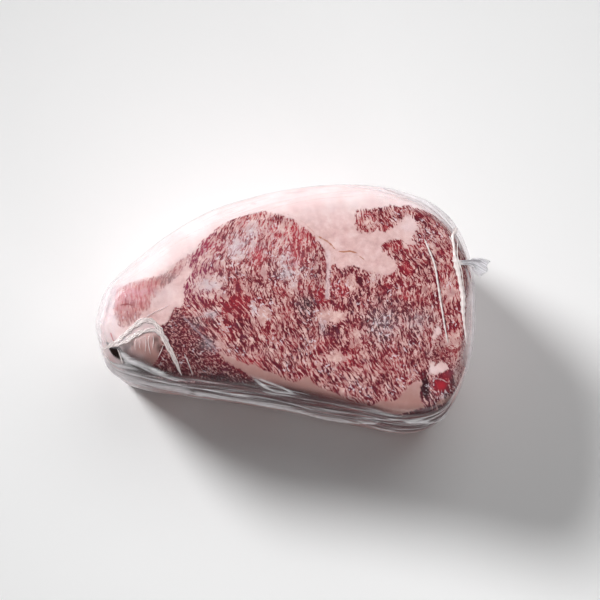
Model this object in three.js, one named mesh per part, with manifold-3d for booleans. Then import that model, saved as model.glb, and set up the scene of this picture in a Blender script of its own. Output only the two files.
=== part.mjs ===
// A whole raw ribeye roll in a clear vacuum bag, standing on one cut face with the other one up.
// Millimetres, +Z up. X runs along the long side of the cut face, from the thin tail end of the
// cross-section to the chine end, and Y from the rib side to the fat cap. Z = 0 is the resting face.
// The bag is sealed and clings to the meat, so bag and meat are one solid with the bag's outer form.

import * as THREE from "three";
import { mergeVertices } from "three/addons/utils/BufferGeometryUtils.js";
import Module from "manifold-3d";

// ---- driving dimensions ---------------------------------------------------------------------

const HEIGHT = 150; // from cut face to cut face, over the bag
const BASE_EDGE = 11; // radius of the edge round the resting face
const BELLY = 3; // how far the walls swell between their edges
const BELLY_HEIGHT = 78; // where they are fullest

// Plan outline of the pack at its fullest, clockwise from the thin tail end:
// x, y, and the radius of the shoulder between wall and upper cut face.
const OUTLINE = [
  [-143, -26, 13],
  [-141, -9, 15],
  [-134.5, 9, 19],
  [-120.5, 25, 24],
  [-87, 52, 28],
  [-57, 71, 30],
  [-27.5, 80.5, 30],
  [5, 87, 28],
  [37, 90, 26],
  [70, 88.5, 23],
  [100.5, 80.5, 18],
  [120.5, 68.5, 14],
  [134.5, 50.5, 12],
  [143.5, 22, 12],
  [145.5, -11, 12],
  [143, -39, 11],
  [134, -66, 10],
  [119.5, -86.5, 10],
  [93, -93, 10],
  [57.5, -86.5, 11],
  [18.5, -79, 14],
  [-29.5, -70, 18],
  [-76.5, -63, 24],
  [-112, -58, 24],
  [-134, -48.5, 18],
];
const FACE_CENTRE = [6, 2]; // the point that the rings of both faces close on

// Swells and hollows of the upper cut face: x, y, radius along x, radius along y, height.
const FACE_RELIEF = [
  [-20, 4, 58, 50, 3.2], // left lobe of the eye muscle
  [78, -28, 52, 50, 2.8], // right lobe of the eye muscle
  [33, 14, 9, 44, -1.8], // fat seam between the two lobes
  [52, 48, 36, 18, 1.6], // wedge of fat above the seam
  [-86, -4, 12, 30, -2], // seam beside the eye muscle's narrow end
  [-114, -4, 20, 20, 1.4], // small muscle at the tail end
  [122, -5, 9, 50, -1.6], // seam beside the chine
];

// Slow waves of the wall: how many go round, depth, turns they lean over the height, and phase.
const WAVES = [
  { around: 5, depth: 0.8, lean: 1.4, phase: 0.6 },
  { around: 9, depth: 0.5, lean: -2.1, phase: 2.3 },
];

// Pleats of the bag that stand up as narrow fins on the upper face and shoulder: half width, rise,
// and the run as x, y.
const FACE_PLEATS = {
  tail_arch: {
    half: 1.5,
    rise: 2.8,
    run: [
      [-138.5, -42],
      [-130, -39.5],
      [-120, -34.5],
      [-107, -22.5],
      [-101, -20],
      [-94, -24],
      [-87.5, -35],
      [-82, -48],
      [-77, -58],
    ],
  },
  chine_crease: {
    half: 1,
    rise: 2.2,
    run: [
      [105.5, 39],
      [113, 18],
      [116, -5],
      [121, -33],
    ],
  },
  chine_ribbon: {
    half: 2,
    rise: 2.8,
    run: [
      [129, 51],
      [126.5, 38],
      [129.5, 22],
      [130.5, 13],
      [134, -3],
      [133, -16],
      [135.5, -31],
    ],
  },
};

// Long pleats along the rib-side wall: first and last share of the outline's length, height at
// each, half width and rise.
const WALL_PLEATS = [
  { run: [0.72, 0.95], z: [118, 112], half: 3, rise: 2.4 },
  { run: [0.66, 0.93], z: [96, 80], half: 3.5, rise: 2.8 },
  { run: [0.68, 0.91], z: [44, 54], half: 3, rise: 2.4 },
];
const PLEAT_END = 0.3; // share of a pleat's section left at either end

// The gathered tail of the bag, which stands out over the chine edge.
const TAIL = {
  root: [127, 25, 147],
  tip: [153, 20, 139],
  root_width: 7,
  tip_width: 14,
  thickness: 1.6,
  pleats: 2.5,
  pleat_depth: 1.3,
  pleat_turn: 2,
  arch: 3,
};

// Mesh fineness: samples round the outline and rings in each zone of the skin.
const AROUND = 112;
const FACE_RINGS = 9;
const SHOULDER_RINGS = 6;
const WALL_RINGS = 9;
const FOOT_RINGS = 4;
const BASE_RINGS = 1;
const RELIEF_FADE = 6; // power with which the face's relief dies out towards its rim

// ---- plan outline ---------------------------------------------------------------------------

const outlineCurve = new THREE.CatmullRomCurve3(
  OUTLINE.map(([x, y, shoulder]) => new THREE.Vector3(x, y, shoulder)),
  true,
  "catmullrom",
  0.5,
);

// Point, shoulder radius and outward normal of the outline at a share u of its length.
function outlineAt(u) {
  const share = u % 1;
  const point = outlineCurve.getPointAt(share);
  const along = outlineCurve.getTangentAt(share);
  const length = Math.hypot(along.x, along.y);
  return { x: point.x, y: point.y, shoulder: point.z, nx: -along.y / length, ny: along.x / length, u: share };
}

const OUTLINE_SAMPLES = Array.from({ length: 400 }, (_, i) => outlineAt(i / 400));

function nearestOutline(x, y) {
  const away = (at) => Math.hypot(at.x - x, at.y - y);
  return OUTLINE_SAMPLES.reduce((best, at) => (away(at) < away(best) ? at : best));
}

// ---- skin of the pack -----------------------------------------------------------------------

function faceRelief(x, y) {
  return FACE_RELIEF.reduce((sum, [cx, cy, rx, ry, height]) => {
    const far = ((x - cx) / rx) ** 2 + ((y - cy) / ry) ** 2;
    return sum + height * Math.exp(-far);
  }, 0);
}

// How far the wall stands in from the outline at a height.
function wallInset(u, z) {
  const fullness = Math.cos(((z - BELLY_HEIGHT) / HEIGHT) * Math.PI);
  const waves = WAVES.reduce(
    (sum, w) => sum + w.depth * Math.sin(2 * Math.PI * (w.around * u + (w.lean * z) / HEIGHT) + w.phase),
    0,
  );
  return BELLY * (1 - fullness) + waves * fullness;
}

function wallPoint(at, z, extra = 0) {
  const inset = wallInset(at.u, z) + extra;
  return new THREE.Vector3(at.x - at.nx * inset, at.y - at.ny * inset, z);
}

// A point of a rounded edge: turn 0 is on the wall and turn 1 on the face.
function edgePoint(at, turn, isTop) {
  const radius = isTop ? at.shoulder : BASE_EDGE;
  const angle = (turn * Math.PI) / 2;
  const point = wallPoint(at, isTop ? HEIGHT - radius : radius, radius * (1 - Math.cos(angle)));
  point.z += (isTop ? 1 : -1) * radius * Math.sin(angle);
  return point;
}

// A point of a cut face: share 0 is at its centre and share 1 on its rim.
function facePoint(at, share, isTop) {
  const point = new THREE.Vector3(...FACE_CENTRE, isTop ? HEIGHT : 0).lerp(edgePoint(at, 1, isTop), share);
  if (isTop) point.z += faceRelief(point.x, point.y) * (1 - share ** RELIEF_FADE);
  return point;
}

// Height of the skin over a point of the plan, on the face or on the shoulder.
function skinHeight(x, y) {
  const at = nearestOutline(x, y);
  const edge = edgePoint(at, 0, true);
  const inside = (edge.x - x) * at.nx + (edge.y - y) * at.ny;
  if (inside >= at.shoulder) return HEIGHT + faceRelief(x, y);
  const short = Math.min(at.shoulder - inside, at.shoulder);
  return edge.z + Math.sqrt(at.shoulder ** 2 - short ** 2);
}

// The zones of the skin from the upper face's centre to the resting face's centre.
const ZONES = [
  { rings: FACE_RINGS, point: (at, t) => facePoint(at, t, true) },
  { rings: SHOULDER_RINGS, point: (at, t) => edgePoint(at, 1 - t, true) },
  {
    rings: WALL_RINGS,
    point: (at, t) => wallPoint(at, THREE.MathUtils.lerp(HEIGHT - at.shoulder, BASE_EDGE, t)),
  },
  { rings: FOOT_RINGS, point: (at, t) => edgePoint(at, t, false) },
  { rings: BASE_RINGS, point: (at, t) => facePoint(at, 1 - t, false) },
];
const RINGS = ZONES.reduce((sum, zone) => sum + zone.rings, 0);

function skinPoint(at, ring) {
  let left = ring;
  for (const zone of ZONES) {
    if (left <= zone.rings) return zone.point(at, left / zone.rings);
    left -= zone.rings;
  }
  return ZONES.at(-1).point(at, 1);
}

// A globe's grid of meridians and parallels, laid onto the skin.
function packGeometry() {
  const geometry = new THREE.SphereGeometry(1, AROUND, RINGS);
  const position = geometry.getAttribute("position");
  const columns = AROUND + 1;
  for (let i = 0; i < position.count; i++) {
    const at = outlineAt((i % columns) / AROUND);
    const ring = Math.floor(i / columns);
    position.setXYZ(i, ...skinPoint(at, ring));
  }
  return geometry;
}

// ---- pleats and tail ------------------------------------------------------------------------

// A fin along a run of points: a round rod pressed to the fin's width and rise, which thins
// towards both ends. frameAt gives the point and the outward direction at a share of the run.
function finGeometry({ half, rise }, frameAt, steps) {
  const sides = 6;
  const reach = 0.01;
  const geometry = new THREE.CylinderGeometry(1, 1, 1, sides, steps);
  const position = geometry.getAttribute("position");
  for (let i = 0; i < position.count; i++) {
    const share = position.getY(i) + 0.5;
    const { point, out } = frameAt(share);
    const before = frameAt(Math.max(share - reach, 0)).point;
    const after = frameAt(Math.min(share + reach, 1)).point;
    const side = new THREE.Vector3().crossVectors(after.sub(before), out).normalize();
    const section = PLEAT_END + (1 - PLEAT_END) * Math.sin(Math.PI * share);
    const place = point.clone();
    place.addScaledVector(side, position.getX(i) * half * section);
    place.addScaledVector(out, position.getZ(i) * rise * section);
    position.setXYZ(i, ...place);
  }
  return geometry;
}

function facePleat(pleat) {
  const points = pleat.run.map(([x, y]) => new THREE.Vector3(x, y, skinHeight(x, y)));
  const curve = new THREE.CatmullRomCurve3(points);
  const up = new THREE.Vector3(0, 0, 1);
  return finGeometry(pleat, (share) => ({ point: curve.getPointAt(share), out: up }), points.length * 4);
}

function wallPleat(pleat) {
  const frameAt = (share) => {
    const at = outlineAt(THREE.MathUtils.lerp(...pleat.run, share));
    const point = wallPoint(at, THREE.MathUtils.lerp(...pleat.z, share));
    return { point, out: new THREE.Vector3(at.nx, at.ny, 0) };
  };
  return finGeometry(pleat, frameAt, 30);
}

// The tail: a strip that widens from its root to its tip and is pleated across its width.
function tailGeometry() {
  const geometry = new THREE.BoxGeometry(1, 1, 1, 8, 20, 1);
  const root = new THREE.Vector3(...TAIL.root);
  const tip = new THREE.Vector3(...TAIL.tip);
  const along = tip.clone().sub(root).normalize();
  const across = new THREE.Vector3(0, 0, 1).cross(along).normalize();
  const out = along.clone().cross(across);
  const position = geometry.getAttribute("position");
  for (let i = 0; i < position.count; i++) {
    const share = position.getX(i) + 0.5;
    const width = THREE.MathUtils.lerp(TAIL.root_width, TAIL.tip_width, share);
    const turns = 2 * Math.PI * TAIL.pleats * position.getY(i) + TAIL.pleat_turn * share;
    const rise = TAIL.pleat_depth * Math.sin(turns) + TAIL.arch * Math.sin(Math.PI * share);
    const point = root.clone().lerp(tip, share);
    point.addScaledVector(across, position.getY(i) * width);
    point.addScaledVector(out, position.getZ(i) * TAIL.thickness + rise);
    position.setXYZ(i, ...point);
  }
  return geometry;
}

// ---- joining --------------------------------------------------------------------------------

const wasm = await Module();
wasm.setup();

function manifoldOf(vertProperties, triVerts) {
  return new wasm.Manifold(new wasm.Mesh({ numProp: 3, vertProperties, triVerts }));
}

function solidFrom(geometry) {
  geometry.deleteAttribute("normal");
  geometry.deleteAttribute("uv");
  const merged = mergeVertices(geometry, 1e-4);
  const points = new Float32Array(merged.getAttribute("position").array);
  const corners = new Uint32Array(merged.index.array);
  const solid = manifoldOf(points, corners);
  return solid.volume() > 0 ? solid : manifoldOf(points, corners.reverse());
}

function geometryFrom(solid) {
  const mesh = solid.getMesh();
  const geometry = new THREE.BufferGeometry();
  geometry.setAttribute("position", new THREE.BufferAttribute(new Float32Array(mesh.vertProperties), 3));
  geometry.setIndex(new THREE.BufferAttribute(new Uint32Array(mesh.triVerts), 1));
  geometry.computeVertexNormals();
  return geometry;
}

// Moves a geometry so that the middle of its underside is the origin.
function standOnOrigin(geometry) {
  geometry.computeBoundingBox();
  const { min, max } = geometry.boundingBox;
  geometry.translate(-(min.x + max.x) / 2, -(min.y + max.y) / 2, -min.z);
  return geometry;
}

const additions = [
  ...Object.values(FACE_PLEATS).map(facePleat),
  ...WALL_PLEATS.map(wallPleat),
  tailGeometry(),
];
const packSolid = additions.reduce(
  (solid, geometry) => solid.add(solidFrom(geometry)),
  solidFrom(packGeometry()),
);

const clingFilm = new THREE.MeshStandardMaterial({ color: "#c08a8a", roughness: 0.2, metalness: 0 });
const pack = new THREE.Mesh(standOnOrigin(geometryFrom(packSolid)), clingFilm);
pack.name = "vacuum_pack";

const ribeyeRoll = new THREE.Group();
ribeyeRoll.add(pack);

export default ribeyeRoll;
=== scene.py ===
"""A block of raw ribeye roll in a clear vacuum bag, standing on one cut face, the other face up.

Lengths are written in millimetres and turned to metres where a mesh is made. The plan is that of
the solid: X along the cut face from its thin tail end to the chine end, Y from the rib side to the
fat cap, Z up from the resting face.
"""

import math

import bmesh
import bpy
import numpy as np
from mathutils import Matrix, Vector
from mathutils.kdtree import KDTree


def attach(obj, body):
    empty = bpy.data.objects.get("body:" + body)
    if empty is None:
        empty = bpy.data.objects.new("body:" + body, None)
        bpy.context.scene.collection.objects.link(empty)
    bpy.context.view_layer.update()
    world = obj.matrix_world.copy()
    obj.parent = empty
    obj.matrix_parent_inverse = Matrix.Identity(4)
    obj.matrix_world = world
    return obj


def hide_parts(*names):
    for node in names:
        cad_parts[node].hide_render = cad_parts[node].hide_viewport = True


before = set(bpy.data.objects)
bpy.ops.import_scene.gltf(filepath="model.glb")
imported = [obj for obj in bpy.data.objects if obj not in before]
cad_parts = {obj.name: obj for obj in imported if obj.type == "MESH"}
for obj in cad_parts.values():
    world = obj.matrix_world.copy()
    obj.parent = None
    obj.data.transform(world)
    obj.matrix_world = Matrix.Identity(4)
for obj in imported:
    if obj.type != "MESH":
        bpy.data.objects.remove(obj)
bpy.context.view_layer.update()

MM = 0.001

# ---- the solid's own sizes, as in its source ------------------------------------------------

HEIGHT = 150.0
BASE_EDGE = 11.0
BELLY = 3.0
BELLY_HEIGHT = 78.0
PLAN_SHIFT = np.array([-5.33, 1.27])  # brings the outline's frame to the middle of the box

# x, y and shoulder radius round the plan, clockwise from the tail end
OUTLINE = [
    (-143, -26, 13), (-141, -9, 15), (-134.5, 9, 19), (-120.5, 25, 24), (-87, 52, 28),
    (-57, 71, 30), (-27.5, 80.5, 30), (5, 87, 28), (37, 90, 26), (70, 88.5, 23),
    (100.5, 80.5, 18), (120.5, 68.5, 14), (134.5, 50.5, 12), (143.5, 22, 12), (145.5, -11, 12),
    (143, -39, 11), (134, -66, 10), (119.5, -86.5, 10), (93, -93, 10), (57.5, -86.5, 11),
    (18.5, -79, 14), (-29.5, -70, 18), (-76.5, -63, 24), (-112, -58, 24), (-134, -48.5, 18),
]
FACE_CENTRE = np.array([6.0, 2.0])

# x, y, radius along x, radius along y, height of each swell and hollow of the upper face
FACE_RELIEF = [
    (-20, 4, 58, 50, 3.2), (78, -28, 52, 50, 2.8), (33, 14, 9, 44, -1.8), (52, 48, 36, 18, 1.6),
    (-86, -4, 12, 30, -2), (-114, -4, 20, 20, 1.4), (122, -5, 9, 50, -1.6),
]
WALL_WAVES = [(5, 0.8, 1.4, 0.6), (9, 0.5, -2.1, 2.3)]  # around, depth, lean, phase
RELIEF_FADE = 6

# ---- skin of the pack -----------------------------------------------------------------------

ZONES = ("face", "shoulder", "wall", "foot", "base")
MEAT_RINGS = (62, 24, 66, 12, 26)  # rings of vertices in each zone
FILM_RINGS = (34, 30, 108, 8, 12)
AROUND = 512  # vertices in each ring


def hermite(t, a, b, start, end):
    """Places on a cubic from a to b that leaves and arrives as the two directions say."""
    return (
        (2 * t**3 - 3 * t**2 + 1) * a
        + (t**3 - 2 * t**2 + t) * start
        + (3 * t**2 - 2 * t**3) * b
        + (t**3 - t**2) * end
    )


def closed_curve(knots, per_span=64):
    """A smooth closed curve through the knots, as many points to each span."""
    before, after, beyond = (np.roll(knots, shift, 0) for shift in (1, -1, -2))
    t = np.linspace(0, 1, per_span, endpoint=False)[None, :, None]
    start, end = (after - before) / 2, (beyond - knots) / 2
    curve = hermite(t, *(values[:, None] for values in (knots, after, start, end)))
    return curve.reshape(-1, knots.shape[1])


class Outline:
    """The plan outline by share of its length."""

    def __init__(self):
        curve = closed_curve(np.array(OUTLINE, float))
        curve = np.vstack([curve, curve[:1]])
        steps = np.linalg.norm(np.diff(curve, axis=0), axis=1)
        self.share = np.concatenate([[0], np.cumsum(steps)])
        self.length = self.share[-1]
        self.share /= self.length
        tangent = np.gradient(curve[:, :2], axis=0)
        tangent[0] = tangent[-1] = curve[1, :2] - curve[-2, :2]
        tangent /= np.linalg.norm(tangent, axis=1)[:, None]
        self.table = np.column_stack([curve, -tangent[:, 1], tangent[:, 0]])

    def at(self, u):
        """x, y, shoulder radius and outward normal at each share."""
        columns = [np.interp(u % 1, self.share, self.table[:, k]) for k in range(5)]
        x, y, shoulder, nx, ny = columns
        size = np.hypot(nx, ny)
        return np.column_stack([x, y]), shoulder, np.column_stack([nx, ny]) / size[:, None]


outline = Outline()


def face_relief(plan):
    """Height of the upper face's swells and hollows at each place."""
    total = np.zeros(len(plan))
    for x, y, rx, ry, height in FACE_RELIEF:
        far = ((plan[:, 0] - x) / rx) ** 2 + ((plan[:, 1] - y) / ry) ** 2
        total += height * np.exp(-far)
    return total


def wall_inset(u, z):
    """How far the walls lie inside the outline at each share and height."""
    fullness = np.cos((z - BELLY_HEIGHT) / HEIGHT * math.pi)
    waves = sum(
        depth * np.sin(2 * math.pi * (around * u + lean * z / HEIGHT) + phase)
        for around, depth, lean, phase in WALL_WAVES
    )
    return BELLY * (1 - fullness) + waves * fullness


def skin(u, ring, rings):
    """Places, outward directions and the depth below the upper rim, for shares and rings."""
    point, shoulder, normal = outline.at(u)
    marks = np.cumsum((0, *rings))
    zone = np.clip(np.searchsorted(marks, ring, side="left") - 1, 0, len(ZONES) - 1)
    t = (ring - marks[zone]) / np.array(rings)[zone]
    quarter = math.pi / 2

    # the angle of the edges' rounding: 0 on the wall, a quarter turn on a face
    turn = np.select([zone == 0, zone == 1, zone == 2, zone == 3], [1, 1 - t, 0, t], 1.0) * quarter
    is_top = zone <= 1
    radius = np.where(is_top, shoulder, BASE_EDGE)
    wall_top = HEIGHT - shoulder
    on_wall = zone == 2
    down_the_wall = wall_top + (BASE_EDGE - wall_top) * t
    wall_z = np.select([is_top, on_wall], [wall_top, down_the_wall], BASE_EDGE)
    inset = wall_inset(u, wall_z) + np.where(on_wall, 0, radius * (1 - np.cos(turn)))
    side = np.where(is_top, 1, -1)
    z = wall_z + np.where(on_wall, 0, side * radius * np.sin(turn))
    plan = point - normal * inset[:, None]

    share = np.select([zone == 0, zone == 4], [t, 1 - t], 1.0)
    plan = FACE_CENTRE + share[:, None] * (plan - FACE_CENTRE)
    z = z + np.where(zone == 0, face_relief(plan) * (1 - share**RELIEF_FADE), 0)

    across = np.where(on_wall, 1, np.cos(turn))
    out = np.column_stack([normal * across[:, None], np.where(on_wall, 0, side * np.sin(turn))])
    over_shoulder = (quarter - turn) * radius
    past_wall = quarter * radius + wall_top - BASE_EDGE + turn * BASE_EDGE
    below = np.select(
        [zone == 0, zone == 1, on_wall],
        [0, over_shoulder, quarter * radius + wall_top - wall_z],
        past_wall,
    )
    return np.column_stack([plan + PLAN_SHIFT, z]), out, below


class Skin:
    """A welded grid's vertices laid on the pack's skin, ready to be pushed in or out."""

    def __init__(self, rings):
        count = sum(rings)
        shape = bmesh.new()
        bmesh.ops.create_grid(shape, x_segments=AROUND, y_segments=count, size=1)
        flat = np.array([vertex.co[:2] for vertex in shape.verts])
        u = (flat[:, 0] + 1) / 2 % 1
        place, _, _ = skin(u, (1 - flat[:, 1]) / 2 * count, rings)
        for vertex, where in zip(shape.verts, place * MM):
            vertex.co = where
        around = shape.verts.layers.float.new("around")
        ring = shape.verts.layers.float.new("ring")
        for vertex, share, level in zip(shape.verts, u, (1 - flat[:, 1]) / 2 * count):
            vertex[around] = share
            vertex[ring] = level
        bmesh.ops.remove_doubles(shape, verts=shape.verts, dist=1e-7)
        bmesh.ops.recalc_face_normals(shape, faces=shape.faces)
        self.u = np.array([vertex[around] for vertex in shape.verts])
        level = np.array([vertex[ring] for vertex in shape.verts])
        self.mesh = bpy.data.meshes.new("skin")
        shape.to_mesh(self.mesh)
        shape.free()
        self.place, self.out, self.below = skin(self.u, np.round(level), rings)
        self.plan = self.place[:, :2]
        self.along = self.u * outline.length

    def piece(self, name, push):
        """The skin pushed outwards by a number of millimetres at each vertex."""
        mesh = self.mesh.copy()
        mesh.name = name
        where = (self.place + self.out * push[:, None]) * MM
        mesh.vertices.foreach_set("co", where.ravel())
        mesh.polygons.foreach_set("use_smooth", np.ones(len(mesh.polygons), bool))
        mesh.update()
        made = bpy.data.objects.new(name, mesh)
        bpy.context.scene.collection.objects.link(made)
        return made


def give_values(piece, name, values):
    """Stores a number, or three, at each vertex for the material to read."""
    kind = "FLOAT" if values.ndim == 1 else "FLOAT_VECTOR"
    layer = piece.data.attributes.new(name, kind, "POINT")
    layer.data.foreach_set("value" if kind == "FLOAT" else "vector", values.astype(np.float32).ravel())


# ---- the cut face's anatomy -----------------------------------------------------------------

# Each muscle: its share of fat, how bright its lean is, from -1 (dry, purplish brown) to 1 (fresh
# red), how fine its marbling is, from 0 to 1, and its outline in plan
MUSCLES = {
    "eye": (0.455, 0.15, 0.0, [
        (-54.5, -43.2), (-60.5, -38.6), (-68, -31.4), (-75.5, -24), (-81.6, -14), (-79.7, -3.5),
        (-79.8, 4), (-79.6, 10), (-76.1, 12.9), (-75.3, 19), (-77, 25.5), (-75.7, 30.6),
        (-71.3, 34.7), (-68.2, 40.2), (-63.1, 44.5), (-58, 49.3), (-51.9, 55.6), (-46, 59.8),
        (-38.5, 62.9), (-30.9, 65.1), (-21.8, 65.8), (-12.3, 63), (-0.9, 59), (6.7, 54.3),
        (14.1, 48.1), (20.1, 41.2), (26.1, 33), (28, 25.5), (33, 23.5), (38.2, 20.8), (43.8, 22.5),
        (49.9, 21.3), (57.1, 18.8), (64.4, 16.8), (71.3, 15.1), (76.1, 16.8), (79.1, 22),
        (74.6, 28.2), (70.4, 32.2), (66.5, 35.7), (70.2, 40.2), (74.8, 42.1), (81.5, 42.6),
        (87.7, 38.4), (95.5, 38.6), (102, 34.4), (105.6, 26), (108.4, 17.6), (110.2, 8.6),
        (112, -2), (113.4, -12), (112, -19.5), (107.4, -26), (104.4, -34), (103.6, -46),
        (102.6, -55), (98, -63), (90, -65.5), (86.4, -69.4), (81.9, -74.9), (77.5, -78.3),
        (65.8, -79.7), (60, -83), (54.9, -81.6), (47.4, -80.6), (41.6, -78.6), (32.7, -73.7),
        (25, -70.8), (18, -67), (12.5, -61.5), (7, -64.5), (2, -65), (-4.4, -62.6), (-14.1, -58.2),
        (-21.4, -56), (-26.7, -52.2), (-34, -51.6), (-41.4, -47.8), (-48.2, -44.9), (-52.5, -42.5),
    ]),
    "complexus": (0.34, -0.4, 1.0, [
        (-98.6, -30), (-98, -23.6), (-92.8, -21.2), (-90, -15.6), (-87.4, -9.5), (-81, -9.8),
        (-77.4, -16), (-71.4, -22.4), (-64, -29.6), (-56.6, -36.8), (-53, -43.6), (-48.3, -49.4),
        (-42.7, -52.8), (-35, -57), (-28.4, -61), (-21, -64.4), (-11.6, -67.2), (-0.6, -70),
        (8, -73), (12, -86), (-23, -82), (-52, -78), (-82, -73), (-104, -68), (-106, -55),
        (-98.8, -46.8), (-97.1, -38), (-95, -33),
    ]),
    "tail": (0.53, 1.5, 0.0, [
        (-133.3, 7.6), (-126.4, 9.2), (-116.4, 12.7), (-105.4, 14.1), (-99.5, 14.7), (-94, 17),
        (-89.1, 21.4), (-83, 27), (-77, 31.4), (-76.4, 29.1), (-79.8, 22.3), (-82.8, 16.2),
        (-88.8, 10.9), (-94, 6.3), (-99.1, 1.8), (-104.2, -3.7), (-104.7, -9), (-110.1, -13.4),
        (-114.1, -18.7), (-121.3, -23.2), (-126.9, -23.7), (-130.1, -18.6), (-132.5, -9.5),
    ]),
    "cap": (0.45, 0.3, 0.0, [
        (68.6, 67), (75.8, 70.2), (82, 68.6), (88, 71.4), (94.4, 69.4), (101, 68.2), (109.6, 64.4),
        (118.2, 58.8), (125.2, 51.8), (130, 43.8), (132.6, 29.4), (137, 19.4), (137.6, 11.4),
        (134, 3), (132, -4), (131, -12.5), (130.6, -22.4), (130, -32), (129.6, -38.5), (124, -44.4),
        (115.6, -42.6), (112.8, -33.8), (110.6, -22.4), (108.8, -7.3), (106.6, 7.8), (104, 22.3),
        (100, 34), (94.8, 39.6), (89.8, 42.8), (92.6, 48.6), (94.2, 53.4), (91.6, 58), (87, 59.6),
        (83, 56.4), (79, 53.2), (75.4, 50.8), (70.6, 50.6), (69, 60),
    ]),
    "cap_tip": (0.5, 0.5, 0.0, [
        (48, 63), (54, 66.2), (60, 64), (63, 58), (63.6, 49.4), (55, 47), (48.6, 50),
    ]),
    "cap_edge": (0.42, 0.3, 0.0, [
        (60, 65.6), (67, 66.8), (72, 62), (72.6, 49.6), (66.4, 48.8), (62.8, 56),
    ]),
    "chine": (0.47, -0.35, 0.0, [
        (95.4, -73), (96.6, -65.6), (99.8, -60.2), (106, -59.2), (111.4, -58), (117, -54.8),
        (122, -56), (126.4, -59), (129, -67), (126, -77.6), (120.4, -82), (110, -86), (101.6, -86),
        (96.6, -81.4),
    ]),
    "fingers": (0.5, 0.0, 0.6, [
        (105.6, -34), (113, -30), (121, -36.6), (130, -33.6), (133, -46), (131, -59), (124, -61),
        (118, -56.6), (113.5, -50.6), (107, -51.6), (103.6, -47),
    ]),
    "rib_meat": (0.14, -0.7, 0.0, [
        (2, -72.6), (6.7, -73.4), (15.5, -75.5), (25.3, -77.4), (36.3, -80), (44.2, -82.3),
        (51.8, -84), (60.6, -86.1), (69.9, -87.7), (80.7, -88.4), (87.8, -87), (93.7, -84.9),
        (102.6, -84), (110.1, -83), (119.5, -77.3), (128, -72), (140, -76), (130, -99), (100, -105),
        (60, -101), (20, -95), (0, -90),
    ]),
}

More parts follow.
